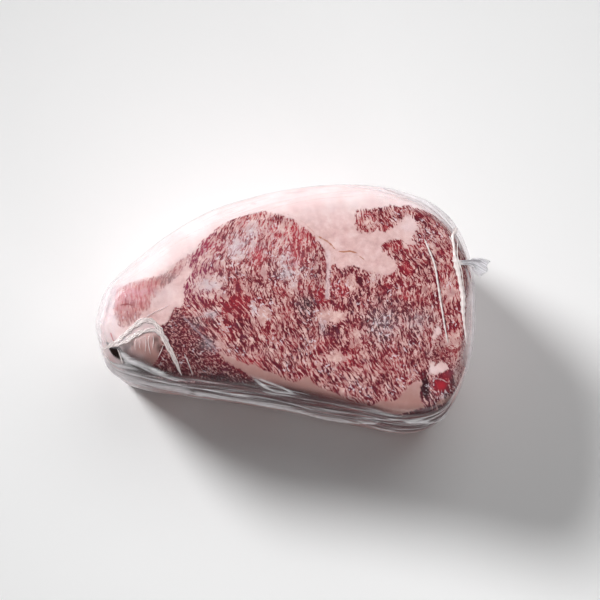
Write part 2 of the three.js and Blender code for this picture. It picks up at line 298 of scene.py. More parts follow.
# Places where the meat differs from the rest of its muscle: x, y, radius along x and y, and how
# much is added to its share of fat, to its brightness and to the haze of the film over it; in a
# few places that haze is a painted sheen and glints of the film.
PATCHES = [
    # where the film lies off the meat
    (-61, 9, 11, 8, 0.32, 0.0, 0.95),
    (56, -12, 30, 26, -0.035, -0.2, 0.0),
    (-59, -15, 7, 5, 0.1, -0.5, 0.9),
    # wide haze over the top of the eye, partly painted sheen of the film
    (-34, 38, 30, 20, 0.05, 0.3, 0.45),
    (8, 26, 20, 20, 0.0, 0.3, 0.35),
    (-118, 2, 15, 9, 0.06, 0.0, 1.0),
    (-137, -2, 9, 20, 0.0, 0.0, 1.2),
    (-39, 37, 9, 8, 0.12, 0.1, 0.75),
    # painted glint of the film
    (-28, 51, 5, 5, 0.1, 0.0, 0.7),
    (-27.6, -11, 2.5, 4.5, 0.2, 0.0, 1.0),
    (23, -24.6, 3, 5, 0.1, -0.3, 0.8),
    (68, -22, 12, 13, 0.02, -0.6, 0.8),
    (95, -20, 10, 8, 0.05, -0.6, 0.8),
    (62, 13, 6, 4, 0.3, 0.2, 0.3),
    (-2, 20, 10, 12, 0.1, -0.1, 0.45),
    (-70, -22, 5, 6, 0.0, -0.7, 0.6),
    (-62, -37, 7, 6, 0.0, -0.6, 0.9),
    (101, 48, 8, 6, 0.0, -0.1, 0.4),
    (122, -60, 5, 10, 0.05, -0.3, 0.5),
    (113.5, -76, 3.4, 2.6, 0.2, -0.4, 0.9),
    (104, -76, 6, 5, 0.02, -0.3, 0.35),
    # fat
    (29.8, -16.2, 7.5, 4.2, 0.8, 0.0, 0.0),
    (-20.9, -14, 3.6, 6, 0.7, 0.0, 0.0),
    (33.5, -46.6, 8, 3.6, 0.4, 0.0, 0.0),
    (45.4, 9.6, 5, 5, 0.45, 0.2, 0.0),
    (48.4, -31.4, 3, 6, 0.36, 0.0, 0.0),
    (-53, -37.5, 3.4, 5, 0.35, 0.0, 0.0),
    (-64, 28.6, 6, 5, 0.16, 0.3, 0.1),
    (2, 6.6, 3, 5, 0.36, 0.0, 0.3),
    (87.5, 53, 5.5, 4.5, 0.7, 0.0, 0.3),
    (57, 56, 4, 3.5, 0.2, 0.2, 0.1),
    (118, 3, 5, 8, 0.22, 0.1, 0.2),
    (121, -35, 6, 4, 0.3, 0.0, 0.0),
    (114.5, -49.5, 3.4, 4.5, -0.2, 0.3, 0.0),
    (-96, 2, 8, 4, 0.25, 0.2, 0.2),
    (-20, 52, 16, 9, 0.1, 0.5, 0.1),
    (4, 46, 18, 12, 0.0, 0.7, 0.0),
    (-58, 46, 16, 12, 0.0, 0.4, 0.0),
    # fresh and dark lean
    (21.6, -1, 4, 8, -0.16, 1.3, 0.0),
    (11.2, -8, 7, 8, -0.14, -1.2, 0.3),
    (-4.5, 15.7, 5, 5, -0.06, -0.6, 0.4),
    (38, 3.5, 6, 5, -0.16, 0.9, 0.0),
    (50.7, 11.1, 3.6, 3.2, -0.5, -0.4, 0.0),
    (4.5, 28.6, 6, 11, -0.14, 1.1, 0.0),
    (-24.6, 30, 5, 8, -0.16, 1.1, 0.0),
    (-39.5, -7, 10, 7, -0.14, 0.6, 0.0),
    (86.4, 18.7, 4, 4, -0.16, 1.0, 0.0),
    (84.2, 0.5, 3.6, 7, -0.12, 0.8, 0.0),
    (88, 38, 14, 6, -0.04, 0.6, 0.0),
    (-66, 38, 8, 9, 0.04, 0.5, 0.15),
    (-45, -20, 14, 12, -0.06, 0.2, 0.0),
    (32, -24, 7, 5, -0.18, -0.3, 0.0),
    (-112, -2, 16, 7, -0.14, 0.5, 0.0),
    (-121, -17, 9, 8, 0.14, -0.9, 0.3),
    (-91, 13, 8, 6, -0.16, -1.5, 0.3),
    (111.4, -67.4, 6.6, 6.2, -0.6, 2.2, 0.0),
    (116.4, -59.4, 3.4, 3, -0.4, 1.5, 0.0),
    (99, -69.5, 2.4, 7, -0.6, -2.0, 0.0),
    (66, -74, 16, 7, -0.06, -0.3, 0.1),
    (-30, -68, 40, 7, -0.14, -0.5, 0.1),
]

# Kinds of seam
WHITE, GREY, BROWN, RED, DARK_RED, PEACH = 0.0, 0.1, 0.25, 0.5, 0.75, 1.0

# Seams between muscles and lines on the fat: kind, half width in mm, how strongly it shows, and
# its route in plan
SEAMS = [
    (BROWN, 0.75, 0.95, [
        (20.1, 44.8), (26.9, 41.2), (30.5, 38), (33.6, 34.3), (38.8, 32.7), (44.1, 33.5),
        (48.6, 32), (52.8, 28.6), (57.3, 25),
    ]),
    (BROWN, 0.6, 0.3, [(-6, 63), (2, 60.5), (10, 55), (16, 49), (20.1, 44.8)]),
    (GREY, 1.1, 0.6, [(-82.5, -14), (-75.3, -21), (-66, -30.6), (-58, -38), (-55, -42)]),
    (WHITE, 2.4, 0.6, [(27.5, 33), (28.3, 22), (27.6, 10), (27, -2)]),
    (BROWN, 0.5, 0.4, [(33, 31), (31.5, 22), (29.5, 10)]),
    (RED, 0.9, 0.7, [(-134.5, -28.3), (-133.6, -33.4), (-132.3, -36.4)]),
    (DARK_RED, 0.9, 0.7, [(-127.2, -7.3), (-121.3, -6.6), (-116.3, -7.9)]),
    (WHITE, 0.7, 0.9, [(-127, 7), (-125, 3), (-123, -1)]),
    (DARK_RED, 1.2, 0.8, [(106.4, -53), (110.1, -47.8), (113.2, -42.5)]),
    (DARK_RED, 0.8, 0.5, [(105.5, -49.3), (108.6, -44.9), (111, -41.9)]),
    (DARK_RED, 1.3, 0.6, [(107.7, -42.8), (108.7, -39)]),
    (DARK_RED, 1.6, 0.8, [(114.6, -39.6), (119.4, -42), (123.7, -41.1), (127.5, -37.2)]),
    (DARK_RED, 1.2, 0.5, [(108.3, -33.7), (110.6, -29.2)]),
    (WHITE, 0.7, 0.55, [(104.4, -61.8), (110.3, -62.6), (115.9, -65.8), (117.7, -69.3)]),
    (WHITE, 0.6, 0.35, [(102.6, -63), (101.4, -68), (101, -74), (103, -79)]),
    (PEACH, 2.0, 0.7, [(108.4, -81), (113.8, -79.3), (118.5, -76.9)]),
    (RED, 1.6, 0.55, [(-22.4, 81.2), (-12.4, 83.6), (-0.9, 84.4)]),
    (RED, 1.6, 0.3, [(-30.4, 73), (-27.4, 72.6)]),
]

# Direction of the grain on the cut face, in degrees from +X: x, y, angle
GRAIN = [
    (-10, -40, 107), (-20, -45, 112), (5, -45, 113), (-45, -15, 108), (-30, -10, 105),
    (-40, -30, 112), (-58, 46, 48), (-74, 20, 70), (-15, 42, 72), (-74, -5, 112), (88, 30, 132),
    (70, 0, 106), (48, -8, 110), (102, -10, 100), (70, -50, 118), (30, -64, 136),
    (82, -72, 120), (15, 12, 94), (15, -30, 103), (-76, -34, 124), (-62, -58, 140),
    (-118, 0, 95), (-90, 22, 48), (112, 56, 128), (122, 0, 98), (60, 56, 120), (-100, -45, 150),
]
GRAIN_REACH = 26.0  # mm over which one direction holds
GRAIN_CELL = 6.0  # mm between the lattice's points


def route_distance(plan, route, closed=False):
    """How far each place lies from a route."""
    starts, ends = (route, np.roll(route, -1, 0)) if closed else (route[:-1], route[1:])
    nearest = np.full(len(plan), np.inf)
    for a, b in zip(starts, ends):
        run = b - a
        t = np.clip(((plan - a) @ run) / (run @ run), 0, 1)
        offset = plan - a - t[:, None] * run
        nearest = np.minimum(nearest, np.hypot(offset[:, 0], offset[:, 1]))
    return nearest


def is_inside(plan, route):
    """Whether each place lies inside a closed route."""
    inside = np.zeros(len(plan), bool)
    for a, b in zip(route, np.roll(route, -1, 0)):
        crosses = (a[1] > plan[:, 1]) != (b[1] > plan[:, 1])
        if a[1] == b[1]:
            continue
        x = a[0] + (plan[:, 1] - a[1]) / (b[1] - a[1]) * (b[0] - a[0])
        inside ^= crosses & (plan[:, 0] < x)
    return inside


def muscle_depth(plan, knots):
    """Distance to a muscle's outline, positive inside it."""
    route = closed_curve(np.array(knots, float), per_span=3)
    far = route_distance(plan, route, closed=True)
    return np.where(is_inside(plan, route), far, -far)


def bump(plan, x, y, rx, ry):
    """1 at a place in plan, falling off to 0 over its two radii."""
    return np.exp(-(((plan[:, 0] - x) / rx) ** 2) - ((plan[:, 1] - y) / ry) ** 2)


def grain_directions(gx, gy):
    """Directions along and across the grain at each point of a lattice."""
    turn = np.zeros((2, *gx.shape))
    for x, y, angle in GRAIN:
        near = 1 / (1 + ((gx - x) ** 2 + (gy - y) ** 2) / GRAIN_REACH**2) ** 3
        twice = 2 * math.radians(angle)
        turn += near * np.array([math.cos(twice), math.sin(twice)])[:, None, None]
    angle = (np.arctan2(turn[1], turn[0]) / 2) % math.pi
    along = np.stack([np.cos(angle), np.sin(angle)])
    across = np.stack([np.sin(angle), -np.cos(angle)])
    return along, across


def grain_field():
    """Two coordinates whose lines run across and along the grain, solved on a coarse lattice."""
    xs = np.arange(-156, 157, GRAIN_CELL)
    ys = np.arange(-102, 103, GRAIN_CELL)
    gx, gy = np.meshgrid(xs, ys, indexing="ij")
    along, across = grain_directions(gx, gy)
    count = gx.size
    number = np.arange(count).reshape(gx.shape)
    pairs = [(number[:-1], number[1:], 0), (number[:, :-1], number[:, 1:], 1)]
    laplace = np.zeros((count, count))
    pull = np.zeros((count, 2))
    for low, high, axis in pairs:
        a, b = low.ravel(), high.ravel()
        np.add.at(laplace, (a, a), 1)
        np.add.at(laplace, (b, b), 1)
        np.add.at(laplace, (a, b), -1)
        np.add.at(laplace, (b, a), -1)
        for k, field in enumerate((across, along)):
            flow = field[axis].ravel()
            step = (flow[a] + flow[b]) / 2 * GRAIN_CELL
            np.add.at(pull[:, k], b, step)
            np.add.at(pull[:, k], a, -step)
    laplace[0, 0] += 1
    solved = np.linalg.solve(laplace, pull)
    return xs, ys, solved.reshape(*gx.shape, 2)


def grain_coordinates(plan):
    """The grain's two coordinates at each place, read from the lattice."""
    xs, ys, field = grain_field()
    fx = np.clip((plan[:, 0] - xs[0]) / GRAIN_CELL, 0, len(xs) - 1.001)
    fy = np.clip((plan[:, 1] - ys[0]) / GRAIN_CELL, 0, len(ys) - 1.001)
    i, j = fx.astype(int), fy.astype(int)
    tx, ty = (fx - i)[:, None], (fy - j)[:, None]
    low = field[i, j] * (1 - tx) + field[i + 1, j] * tx
    high = field[i, j + 1] * (1 - tx) + field[i + 1, j + 1] * tx
    flat = low * (1 - ty) + high * ty
    return np.column_stack([flat, np.zeros(len(plan))])


def smooth_step(low, high, value):
    """0 at one level and 1 at the other, smooth between; the first may be the higher one."""
    t = np.clip((value - low) / (high - low), 0, 1)
    return t * t * (3 - 2 * t)


# ---- materials' tools -----------------------------------------------------------------------

SMOOTH = {"interpolation_type": "SMOOTHSTEP"}
COLOURS = {"data_type": "RGBA"}


def paint(code):
    """An sRGB hex colour as the linear numbers that a shader takes."""
    parts = [int(code[k : k + 2], 16) / 255 for k in (1, 3, 5)]
    linear = [c / 12.92 if c <= 0.04045 else ((c + 0.055) / 1.055) ** 2.4 for c in parts]
    return (*linear, 1.0)


def set_stops(colour_ramp, stops):
    elements = colour_ramp.elements
    while len(elements) < len(stops):
        elements.new(0.5)
    for element, (position, code) in zip(elements, stops):
        element.position = position
        element.color = paint(code)


def add_node(tree, kind, inputs=(), out=None, stops=None, **settings):
    """Adds a node with its settings and links, and gives its first live output or the named one.
    The inputs are named, or they are the live ones in their order; each is a value, a hex colour
    or the output that feeds it. Stops are the positions and hex colours of a colour ramp."""
    made = tree.nodes.new("ShaderNode" + kind)
    for key, value in settings.items():
        setattr(made, key, value)
    if stops:
        set_stops(made.color_ramp, stops)
    if isinstance(inputs, dict):
        fed = [(made.inputs[name], value) for name, value in inputs.items()]
    else:
        fed = list(zip([socket for socket in made.inputs if socket.enabled], inputs))
    for socket, value in fed:
        if isinstance(value, bpy.types.NodeSocket):
            tree.links.new(value, socket)
        else:
            socket.default_value = paint(value) if isinstance(value, str) else value
    live = [socket for socket in made.outputs if socket.enabled]
    return made.outputs[out] if out else next(iter(live), None)


def new_material(name):
    """A material with an empty node tree."""
    material = bpy.data.materials.new(name)
    material.use_nodes = True
    material.node_tree.nodes.clear()
    return material, material.node_tree


def around_half(tree, value, gain, base):
    """Adds a noise's swing about its middle to a value."""
    swing = add_node(tree, "Math", (value, 0.5), operation="SUBTRACT")
    return add_node(tree, "Math", (swing, gain, base), operation="MULTIPLY_ADD")


def drawn_out(tree, source, sizes, detail=2.0, rough=0.5, bend=0.0, dimensions="3D"):
    """Noise whose patches are boxes of the given sizes."""
    shrink = tuple(1 / size for size in sizes)
    boxes = add_node(tree, "VectorMath", (source, shrink), operation="MULTIPLY")
    inputs = {"Vector": boxes, "Scale": 1.0, "Detail": detail, "Roughness": rough, "Distortion": bend}
    return add_node(tree, "TexNoise", inputs, noise_dimensions=dimensions)


# ---- raw beef -------------------------------------------------------------------------------

# Marbling's strokes: mm across and along the grain, detail, roughness, bend and weight
MARBLING = [
    ((1.0, 3.8), 2.0, 0.55, 0.8, 0.44),  # ragged flecks
    ((1.5, 6.0), 1.0, 0.5, 0.6, 0.24),  # strokes
    ((1.7, 13.0), 1.0, 0.5, 0.6, 0.24),  # long veins
    ((5.0, 10.0), 1.0, 0.5, 0.0, 0.08),  # clusters
]
GRIT = (1.1, 1.7)  # mm across and along the grain, in the finely marbled muscles
SPECK_AND_GLINT = (1.7, 3.0)  # mm across and along the grain, of pale specks under the film, partly painted glints of the wet film
SIDE_GRAIN = (2.4 * MM, 2.4 * MM, 15 * MM)  # the roll's fibres run upright in the walls
SIDE_BANDS = (70 * MM, 70 * MM, 16 * MM)
BENDS = ((15.0, 2.8), (4.6, 0.8))  # mm between the bends of the grain, and how far they go

LEAN = [(0.0, "#36171e"), (0.25, "#5a1c28"), (0.5, "#842430"), (0.72, "#ad2a36"), (1.0, "#d0606a")]
VEIN_FAT = [(0.32, "#b58583"), (0.5, "#cda39d"), (0.68, "#e3c5be")]
SEAM_FAT = [(0.3, "#d0a9a6"), (0.5, "#dfbcb8"), (0.72, "#ecd2ce")]
CAP_FAT = [(0.32, "#f6dfde"), (0.5, "#fae9e8"), (0.68, "#fdf1f0")]
SIDE_LEAN = [
    (0.3, "#2a1012"), (0.46, "#431a1d"), (0.56, "#672e30"), (0.66, "#905351"), (0.76, "#b5827e"),
]
# each step lies a little below the kind's own number
SEAM_COLOURS = [
    (0.0, "#e6d0d1"), (0.05, "#a58f98"), (0.2, "#b5795c"), (0.45, "#d2504c"), (0.7, "#8c3b40"),
    (0.95, "#b98f84"),
]

# What the mesh stores for the material: shares of 0 to 1, but for the muscles' depth and the seams'
# distance and half width in mm, the tone and the seams' kind
BEEF_VALUES = (
    "muscle", "fat_share", "tone", "fine", "soft", "cool", "outer", "fat_tint_and_shade", "haze_and_sheen", "wall",
    "rib_side", "painted_shade", "seam_off", "seam_half", "seam_fade", "seam_kind",
)


def bent(tree, source, unit):
    """The coordinates, bent to and fro as grain is; the unit is one millimetre in them."""
    for apart, reach in BENDS:
        sway = add_node(tree, "TexNoise", (source, 1 / (apart * unit), 1.0, 0.5), out="Color")
        centred = add_node(tree, "VectorMath", (sway, (0.5, 0.5, 0.5)), operation="SUBTRACT")
        shift = add_node(tree, "VectorMath", (centred, reach * unit * 2), operation="SCALE")
        source = add_node(tree, "VectorMath", (source, shift), operation="ADD")
    return source


def marbling(tree, facts, grain):
    """How lean a place is: ragged flecks and strokes that lie along the grain, parted by long
    veins; in the fine muscles they are short grit."""
    total = 0.0
    for size, detail, rough, bend, weight in MARBLING:
        part = drawn_out(tree, grain, (*size, 1), detail, rough, bend, "2D")
        total = add_node(tree, "Math", (part, weight, total), operation="MULTIPLY_ADD")
    grit = around_half(tree, drawn_out(tree, grain, (*GRIT, 1), 2.0, 0.6, 0.6, "2D"), 0.75, 0.5)
    return add_node(tree, "Mix", (facts["fine"], total, grit))


def lean_colour(tree, facts, place, over):
    """Muscle: rosy where a fleck thins out, deep red in its middle, purplish where it is dry."""
    patchy = add_node(tree, "TexNoise", (place, 1 / (14 * MM), 3.0, 0.6))
    shade = add_node(tree, "Math", (facts["tone"], 0.24, 0.6), operation="MULTIPLY_ADD")
    shade = around_half(tree, patchy, 0.6, shade)
    middle = add_node(tree, "MapRange", (over, -0.01, 0.11), **SMOOTH)
    shade = add_node(tree, "Math", (middle, -0.34, shade), operation="MULTIPLY_ADD")
    fresh = add_node(tree, "ValToRGB", (shade,), stops=LEAN)
    dull = add_node(tree, "TexNoise", (place, 1 / (9 * MM), 2.0, 0.5))
    dull = add_node(tree, "MapRange", (dull, 0.52, 0.72, 0.0, 0.35), **SMOOTH)
    fresh = add_node(tree, "Mix", (dull, fresh, "#70394a"), **COLOURS)
    return add_node(tree, "Mix", (facts["cool"], fresh, "#8a2f55"), **COLOURS)


def fat_colour(tree, facts, place, in_muscle):
    """Fat: peach in the veins, pinkish cream between the muscles, waxy white at the outside."""
    mottle = add_node(tree, "TexNoise", (place, 1 / (6 * MM), 3.0, 0.6))
    vein = add_node(tree, "ValToRGB", (mottle,), stops=VEIN_FAT)
    seam = add_node(tree, "ValToRGB", (mottle,), stops=SEAM_FAT)
    wide = add_node(tree, "TexNoise", (place, 1 / (16 * MM), 2.0, 0.5))
    cap = add_node(tree, "ValToRGB", (wide,), stops=CAP_FAT)
    solid = add_node(tree, "Mix", (facts["outer"], seam, cap), **COLOURS)
    blush = add_node(tree, "TexNoise", (place, 1 / (26 * MM), 3.0, 0.6))
    blush = add_node(tree, "MapRange", (blush, 0.54, 0.74, 0.0, 0.3), **SMOOTH)
    solid = add_node(tree, "Mix", (blush, solid, "#ecc3c1"), **COLOURS)
    # browned fat: on the rib side partly a dried tint and partly painted shade where the shoulder turns
    # from the key, and painted shade under the arch of pleats
    solid = add_node(tree, "Mix", (facts["fat_tint_and_shade"], solid, "#9e7269"), **COLOURS)
    return add_node(tree, "Mix", (in_muscle, solid, vein), **COLOURS)


def with_seams(tree, facts, place, meat):
    """Thin seams over the meat: white, grey, brown, red, dark red or peach by their kind."""
    ragged = add_node(tree, "TexNoise", (place, 1 / (3.5 * MM), 2.0, 0.5))
    off = around_half(tree, ragged, -1.2, facts["seam_off"])
    colour = add_node(tree, "ValToRGB", (facts["seam_kind"],), stops=SEAM_COLOURS)
    colour.node.color_ramp.interpolation = "CONSTANT"
    share = add_node(tree, "Math", (off, facts["seam_half"]), operation="DIVIDE")
    cover = add_node(tree, "Math", (1.0, share), operation="SUBTRACT", use_clamp=True)
    cover = add_node(tree, "MapRange", (cover, 0.0, 0.6), **SMOOTH)
    cover = add_node(tree, "Math", (cover, facts["seam_fade"]), operation="MULTIPLY")
    return add_node(tree, "Mix", (cover, meat, colour), **COLOURS)


def with_rib_side(tree, facts, place, meat):
    """The stripped rib side: dark lean in bands, and duller fat towards its foot."""
    band = drawn_out(tree, bent(tree, place, MM), SIDE_BANDS, 3.0, 0.6)
    lean = add_node(tree, "ValToRGB", (band,), stops=SIDE_LEAN)
    height = add_node(tree, "SeparateXYZ", (place,), out="Z")
    low = add_node(tree, "MapRange", (height, 52 * MM, 28 * MM), **SMOOTH)
    colour = add_node(tree, "Mix", (low, lean, "#b08079"), **COLOURS)
    return add_node(tree, "Mix", (facts["rib_side"], meat, colour), **COLOURS)


def lean_field(tree, facts, place, grain):
    """How far each place lies over the level that parts lean from fat."""
    side = drawn_out(tree, bent(tree, place, MM), SIDE_GRAIN, 2.5, 0.55)
    field = add_node(tree, "Mix", (facts["wall"], marbling(tree, facts, grain), side))
    broad = add_node(tree, "TexNoise", (place, 1 / (8 * MM), 2.0, 0.5))
    level = add_node(tree, "Math", (facts["fat_share"], 0.4, 0.3), operation="MULTIPLY_ADD")
    level = around_half(tree, broad, 0.15, level)
    return add_node(tree, "Math", (field, level), operation="SUBTRACT")


def lean_cover(tree, facts, over, edge):
    """How much of each place is lean: flecks inside the muscles, a soft wash in the tail muscle."""
    flecks = add_node(tree, "MapRange", (over, -0.038, 0.042), **SMOOTH)
    inside = add_node(tree, "MapRange", (edge, -0.6, 0.7), **SMOOTH)
    lean = add_node(tree, "Math", (flecks, inside), operation="MULTIPLY")
    wash = add_node(tree, "MapRange", (edge, -2.0, 7.0, 0.0, 0.52), **SMOOTH)
    return add_node(tree, "Mix", (facts["soft"], lean, wash))


def film_haze_and_sheen(tree, facts, place):
    """Where the film lies off the meat, and the film's painted sheen and glints, broken up in wisps."""
    wisps = add_node(tree, "TexNoise", (place, 1 / (4.5 * MM), 2.0, 0.6))
    wisps = add_node(tree, "MapRange", (wisps, 0.36, 0.62, 0.35, 1.15))
    return add_node(tree, "Math", (facts["haze_and_sheen"], wisps), operation="MULTIPLY")


def fat_under_haze_and_sheen(tree, facts, fat, haze_and_sheen):
    """Fat turned frosty lavender under a loose film and under the film's painted sheen, and dusky in the
    finely marbled muscles.
    """
    frost = add_node(tree, "Math", (haze_and_sheen, 0.6), operation="MULTIPLY", use_clamp=True)
    fat = add_node(tree, "Mix", (frost, fat, "#decdd1"), **COLOURS)
    dusk = add_node(tree, "Math", (facts["fine"], 0.5), operation="MULTIPLY")
    return add_node(tree, "Mix", (dusk, fat, "#a47b79"), **COLOURS)


def with_veil(tree, facts, meat, haze_and_sheen):
    """A thin veil over the meat, of the film's haze and in places its painted sheen: dusky over dry lean,
    pink over fresh.
    """
    dry = add_node(tree, "MapRange", (facts["tone"], 0.0, -0.6), **SMOOTH)
    fresh = add_node(tree, "MapRange", (facts["tone"], 0.7, 1.3), **SMOOTH)
    veil = add_node(tree, "Mix", (dry, "#cfc0c5", "#897079"), **COLOURS)
    veil = add_node(tree, "Mix", (fresh, veil, "#dd9ca6"), **COLOURS)
    cover = add_node(tree, "MapRange", (haze_and_sheen, 0.35, 1.0, 0.0, 0.42), **SMOOTH)
    return add_node(tree, "Mix", (cover, meat, veil), **COLOURS)


def with_specks_and_glints(tree, facts, place, grain, meat, haze_and_sheen, edge):
    """Pale specks under the film, partly of gas and fat and partly painted glints of the wet film, in
    herds, and none on the fresh tail muscle.
    """
    speck_and_glint = drawn_out(tree, grain, (*SPECK_AND_GLINT, 1), 1.5, dimensions="2D")
    herd = add_node(tree, "TexNoise", (place, 1 / (13 * MM), 2.0, 0.5))
    often = add_node(tree, "Math", (haze_and_sheen, 0.16, 0.46), operation="MULTIPLY_ADD")
    herd = around_half(tree, herd, 1.0, often)
    pale = add_node(tree, "MapRange", (speck_and_glint, 0.6, 0.68), **SMOOTH)
    masks = [(herd, 0.48, 0.6), (edge, 1.0, 4.0, 0.0, 0.75), (facts["tone"], 1.4, 0.7)]
    for mask in masks:
        share = add_node(tree, "MapRange", mask, **SMOOTH)
        pale = add_node(tree, "Math", (pale, share), operation="MULTIPLY")
    # pale specks, partly painted glints of the film
    return add_node(tree, "Mix", (pale, meat, "#e4d6dc"), **COLOURS)


def beef_material():
    """Raw beef, sawn across: wet muscle in red flecks held in pale, waxy fat that goes through it
    in veins, with solid creamy fat round it. It gives the eye a broken pattern of dark and bright
    reds in pinkish cream, which follows the grain, and soft white where the fat lies thick."""
    material, tree = new_material("marbled_raw_beef")
    place = add_node(tree, "TexCoord", out="Object")
    grain = add_node(tree, "Attribute", out="Vector", attribute_name="grain")
    grain = bent(tree, grain, 1.0)
    facts = {
        name: add_node(tree, "Attribute", out="Fac", attribute_name=name) for name in BEEF_VALUES
    }
    haze_and_sheen = film_haze_and_sheen(tree, facts, place)

    # muscles end in a ragged edge
    rag = add_node(tree, "TexNoise", (place, 1 / (2.6 * MM), 3.0, 0.6))
    edge = around_half(tree, rag, 4.4, facts["muscle"])
    over = lean_field(tree, facts, place, grain)
    lean = lean_cover(tree, facts, over, edge)

    in_muscle = add_node(tree, "MapRange", (edge, -1.5, 4.0), **SMOOTH)
    fat = fat_under_haze_and_sheen(tree, facts, fat_colour(tree, facts, place, in_muscle), haze_and_sheen)
    red = lean_colour(tree, facts, place, over)
    meat = add_node(tree, "Mix", (lean, fat, red), **COLOURS)
    meat = with_veil(tree, facts, meat, haze_and_sheen)
    meat = with_specks_and_glints(tree, facts, place, grain, meat, haze_and_sheen, edge)
    meat = with_seams(tree, facts, place, meat)
    meat = with_rib_side(tree, facts, place, meat)
    # painted shade, near black, in the slit, in the gap under the arch and below the arch
    meat = add_node(tree, "Mix", (facts["painted_shade"], meat, "#24100f"), **COLOURS)

    # the lean lies a little lower than the fat
    rough = add_node(tree, "Math", (rag, 0.5), operation="MULTIPLY")
    raised = add_node(tree, "Math", (lean, -0.5, rough), operation="MULTIPLY_ADD")
    relief = add_node(tree, "Bump", {"Strength": 0.3, "Distance": 0.4 * MM, "Height": raised})
    wet_meat = {
        "Base Color": meat,
        "Roughness": 0.38,
        "IOR": 1.36,
        "Specular IOR Level": 0.15,
        "Subsurface Weight": 0.1,
        "Subsurface Radius": (1.0, 0.35, 0.25),
        "Subsurface Scale": 0.002,
        "Normal": relief,
    }
    surface = add_node(tree, "BsdfPrincipled", wet_meat)
    add_node(tree, "OutputMaterial", {"Surface": surface})
    return material


# ---- clear bag ------------------------------------------------------------------------------

DRAWN_LINE = (70, 3.6, 1)  # mm along and across the lines in which the film is drawn
HAIR_LINE = (30, 0.9, 1)  # the fine lines in them
PLEAT_LINE = (16, 0.55, 1)
HEAD_ON_SHEEN = 0.022
FILM_VALUES = ("milk", "drawn", "wall", "dull")


def film_gloss(tree, milk, normal, shine):
    """A gloss that grows to the film's edges as seen, and with its creases; it is on the outside
    only, so that light leaves the pack as it came."""
    facing = add_node(tree, "LayerWeight", {"Blend": 0.5, "Normal": normal}, out="Facing")
    slant = add_node(tree, "Math", (facing, 4.0), operation="POWER")
    sheen = add_node(tree, "Math", (slant, 0.5, HEAD_ON_SHEEN), operation="MULTIPLY_ADD")
    sheen = add_node(tree, "Math", (milk, 0.12, sheen), operation="MULTIPLY_ADD")
    sheen = add_node(tree, "Math", (sheen, shine), operation="MULTIPLY")
    back = add_node(tree, "NewGeometry", out="Backfacing")
    outside = add_node(tree, "Math", (1.0, back), operation="SUBTRACT")
    return add_node(tree, "Math", (sheen, outside), operation="MULTIPLY")


def film_surface(tree, milk, normal, roughness, colour, let_through, shine=1.0):
    """Clear film that turns milky, lit from both sides, under its gloss."""
    clear = add_node(tree, "BsdfTransparent", ("#fbf9fa",))
    lit = add_node(tree, "BsdfDiffuse", {"Color": colour, "Normal": normal})
    through = add_node(tree, "BsdfTranslucent", {"Color": colour, "Normal": normal})
    white = add_node(tree, "MixShader", (let_through, lit, through))
    body = add_node(tree, "MixShader", (milk, clear, white))
    gloss = add_node(tree, "BsdfGlossy", {"Roughness": roughness, "Normal": normal})
    sheen = film_gloss(tree, milk, normal, shine)
    surface = add_node(tree, "MixShader", (sheen, body, gloss))
    add_node(tree, "OutputMaterial", {"Surface": surface})


def film_milk(tree, facts, place, lie, drawn):
    """How milky the film is: clouds where it stands off, fine streaks where it is drawn."""
    cloud = add_node(tree, "TexNoise", (place, 1 / (5 * MM), 4.0, 0.65))
    cloud = add_node(tree, "MapRange", (cloud, 0.34, 0.62, 0.8, 1.1))
    milk = add_node(tree, "Math", (facts["milk"], cloud), operation="MULTIPLY")
    milk = add_node(tree, "Math", (milk, 0.004), operation="ADD")
    line = add_node(tree, "MapRange", (drawn, 0.46, 0.68), **SMOOTH)
    streak = add_node(tree, "Math", (line, facts["drawn"]), operation="MULTIPLY")
    hair = drawn_out(tree, lie, HAIR_LINE, 2.0, 0.6, 0.4, "2D")
    hair = add_node(tree, "MapRange", (hair, 0.3, 0.62, 0.35, 1.2))
    streak = add_node(tree, "Math", (streak, hair), operation="MULTIPLY")
    return add_node(tree, "Math", (streak, 0.75, milk), operation="MULTIPLY_ADD", use_clamp=True)


def clear_film():
    """Clear coextruded pouch film, drawn tight by vacuum: glass-clear where it lies on the meat,
    milky where it is creased or stands off. It gives the eye small glints over the cut face and
    long bright lines where it is drawn along the walls."""
    material, tree = new_material("clear_vacuum_pouch_film")
    place = add_node(tree, "TexCoord", out="Object")
    lie = add_node(tree, "Attribute", out="Vector", attribute_name="lie")
    facts = {
        name: add_node(tree, "Attribute", out="Fac", attribute_name=name) for name in FILM_VALUES
    }
    crinkle = add_node(tree, "TexNoise", (place, 1 / (6 * MM), 3.0, 0.6, 2.0, 0.4))
    drawn = drawn_out(tree, lie, DRAWN_LINE, 3.0, 0.6, 0.5, "2D")
    height = add_node(tree, "Mix", (facts["wall"], crinkle, drawn))
    relief = add_node(tree, "Bump", {"Strength": 0.5, "Distance": 0.8 * MM, "Height": height})

    # taut film between the drawn lines, and at the tail's shoulder, has little shine
    taut = add_node(tree, "MapRange", (drawn, 0.6, 0.46, 0.0, 0.85), **SMOOTH)
    taut = add_node(tree, "Math", (taut, facts["wall"]), operation="MULTIPLY")
    taut = add_node(tree, "Math", (taut, facts["dull"]), operation="MAXIMUM")
    shine = add_node(tree, "Math", (1.0, taut), operation="SUBTRACT")
    milk = film_milk(tree, facts, place, lie, drawn)
    film_surface(tree, milk, relief, 0.2, "#f4f0f3", 0.14, shine)
    return material


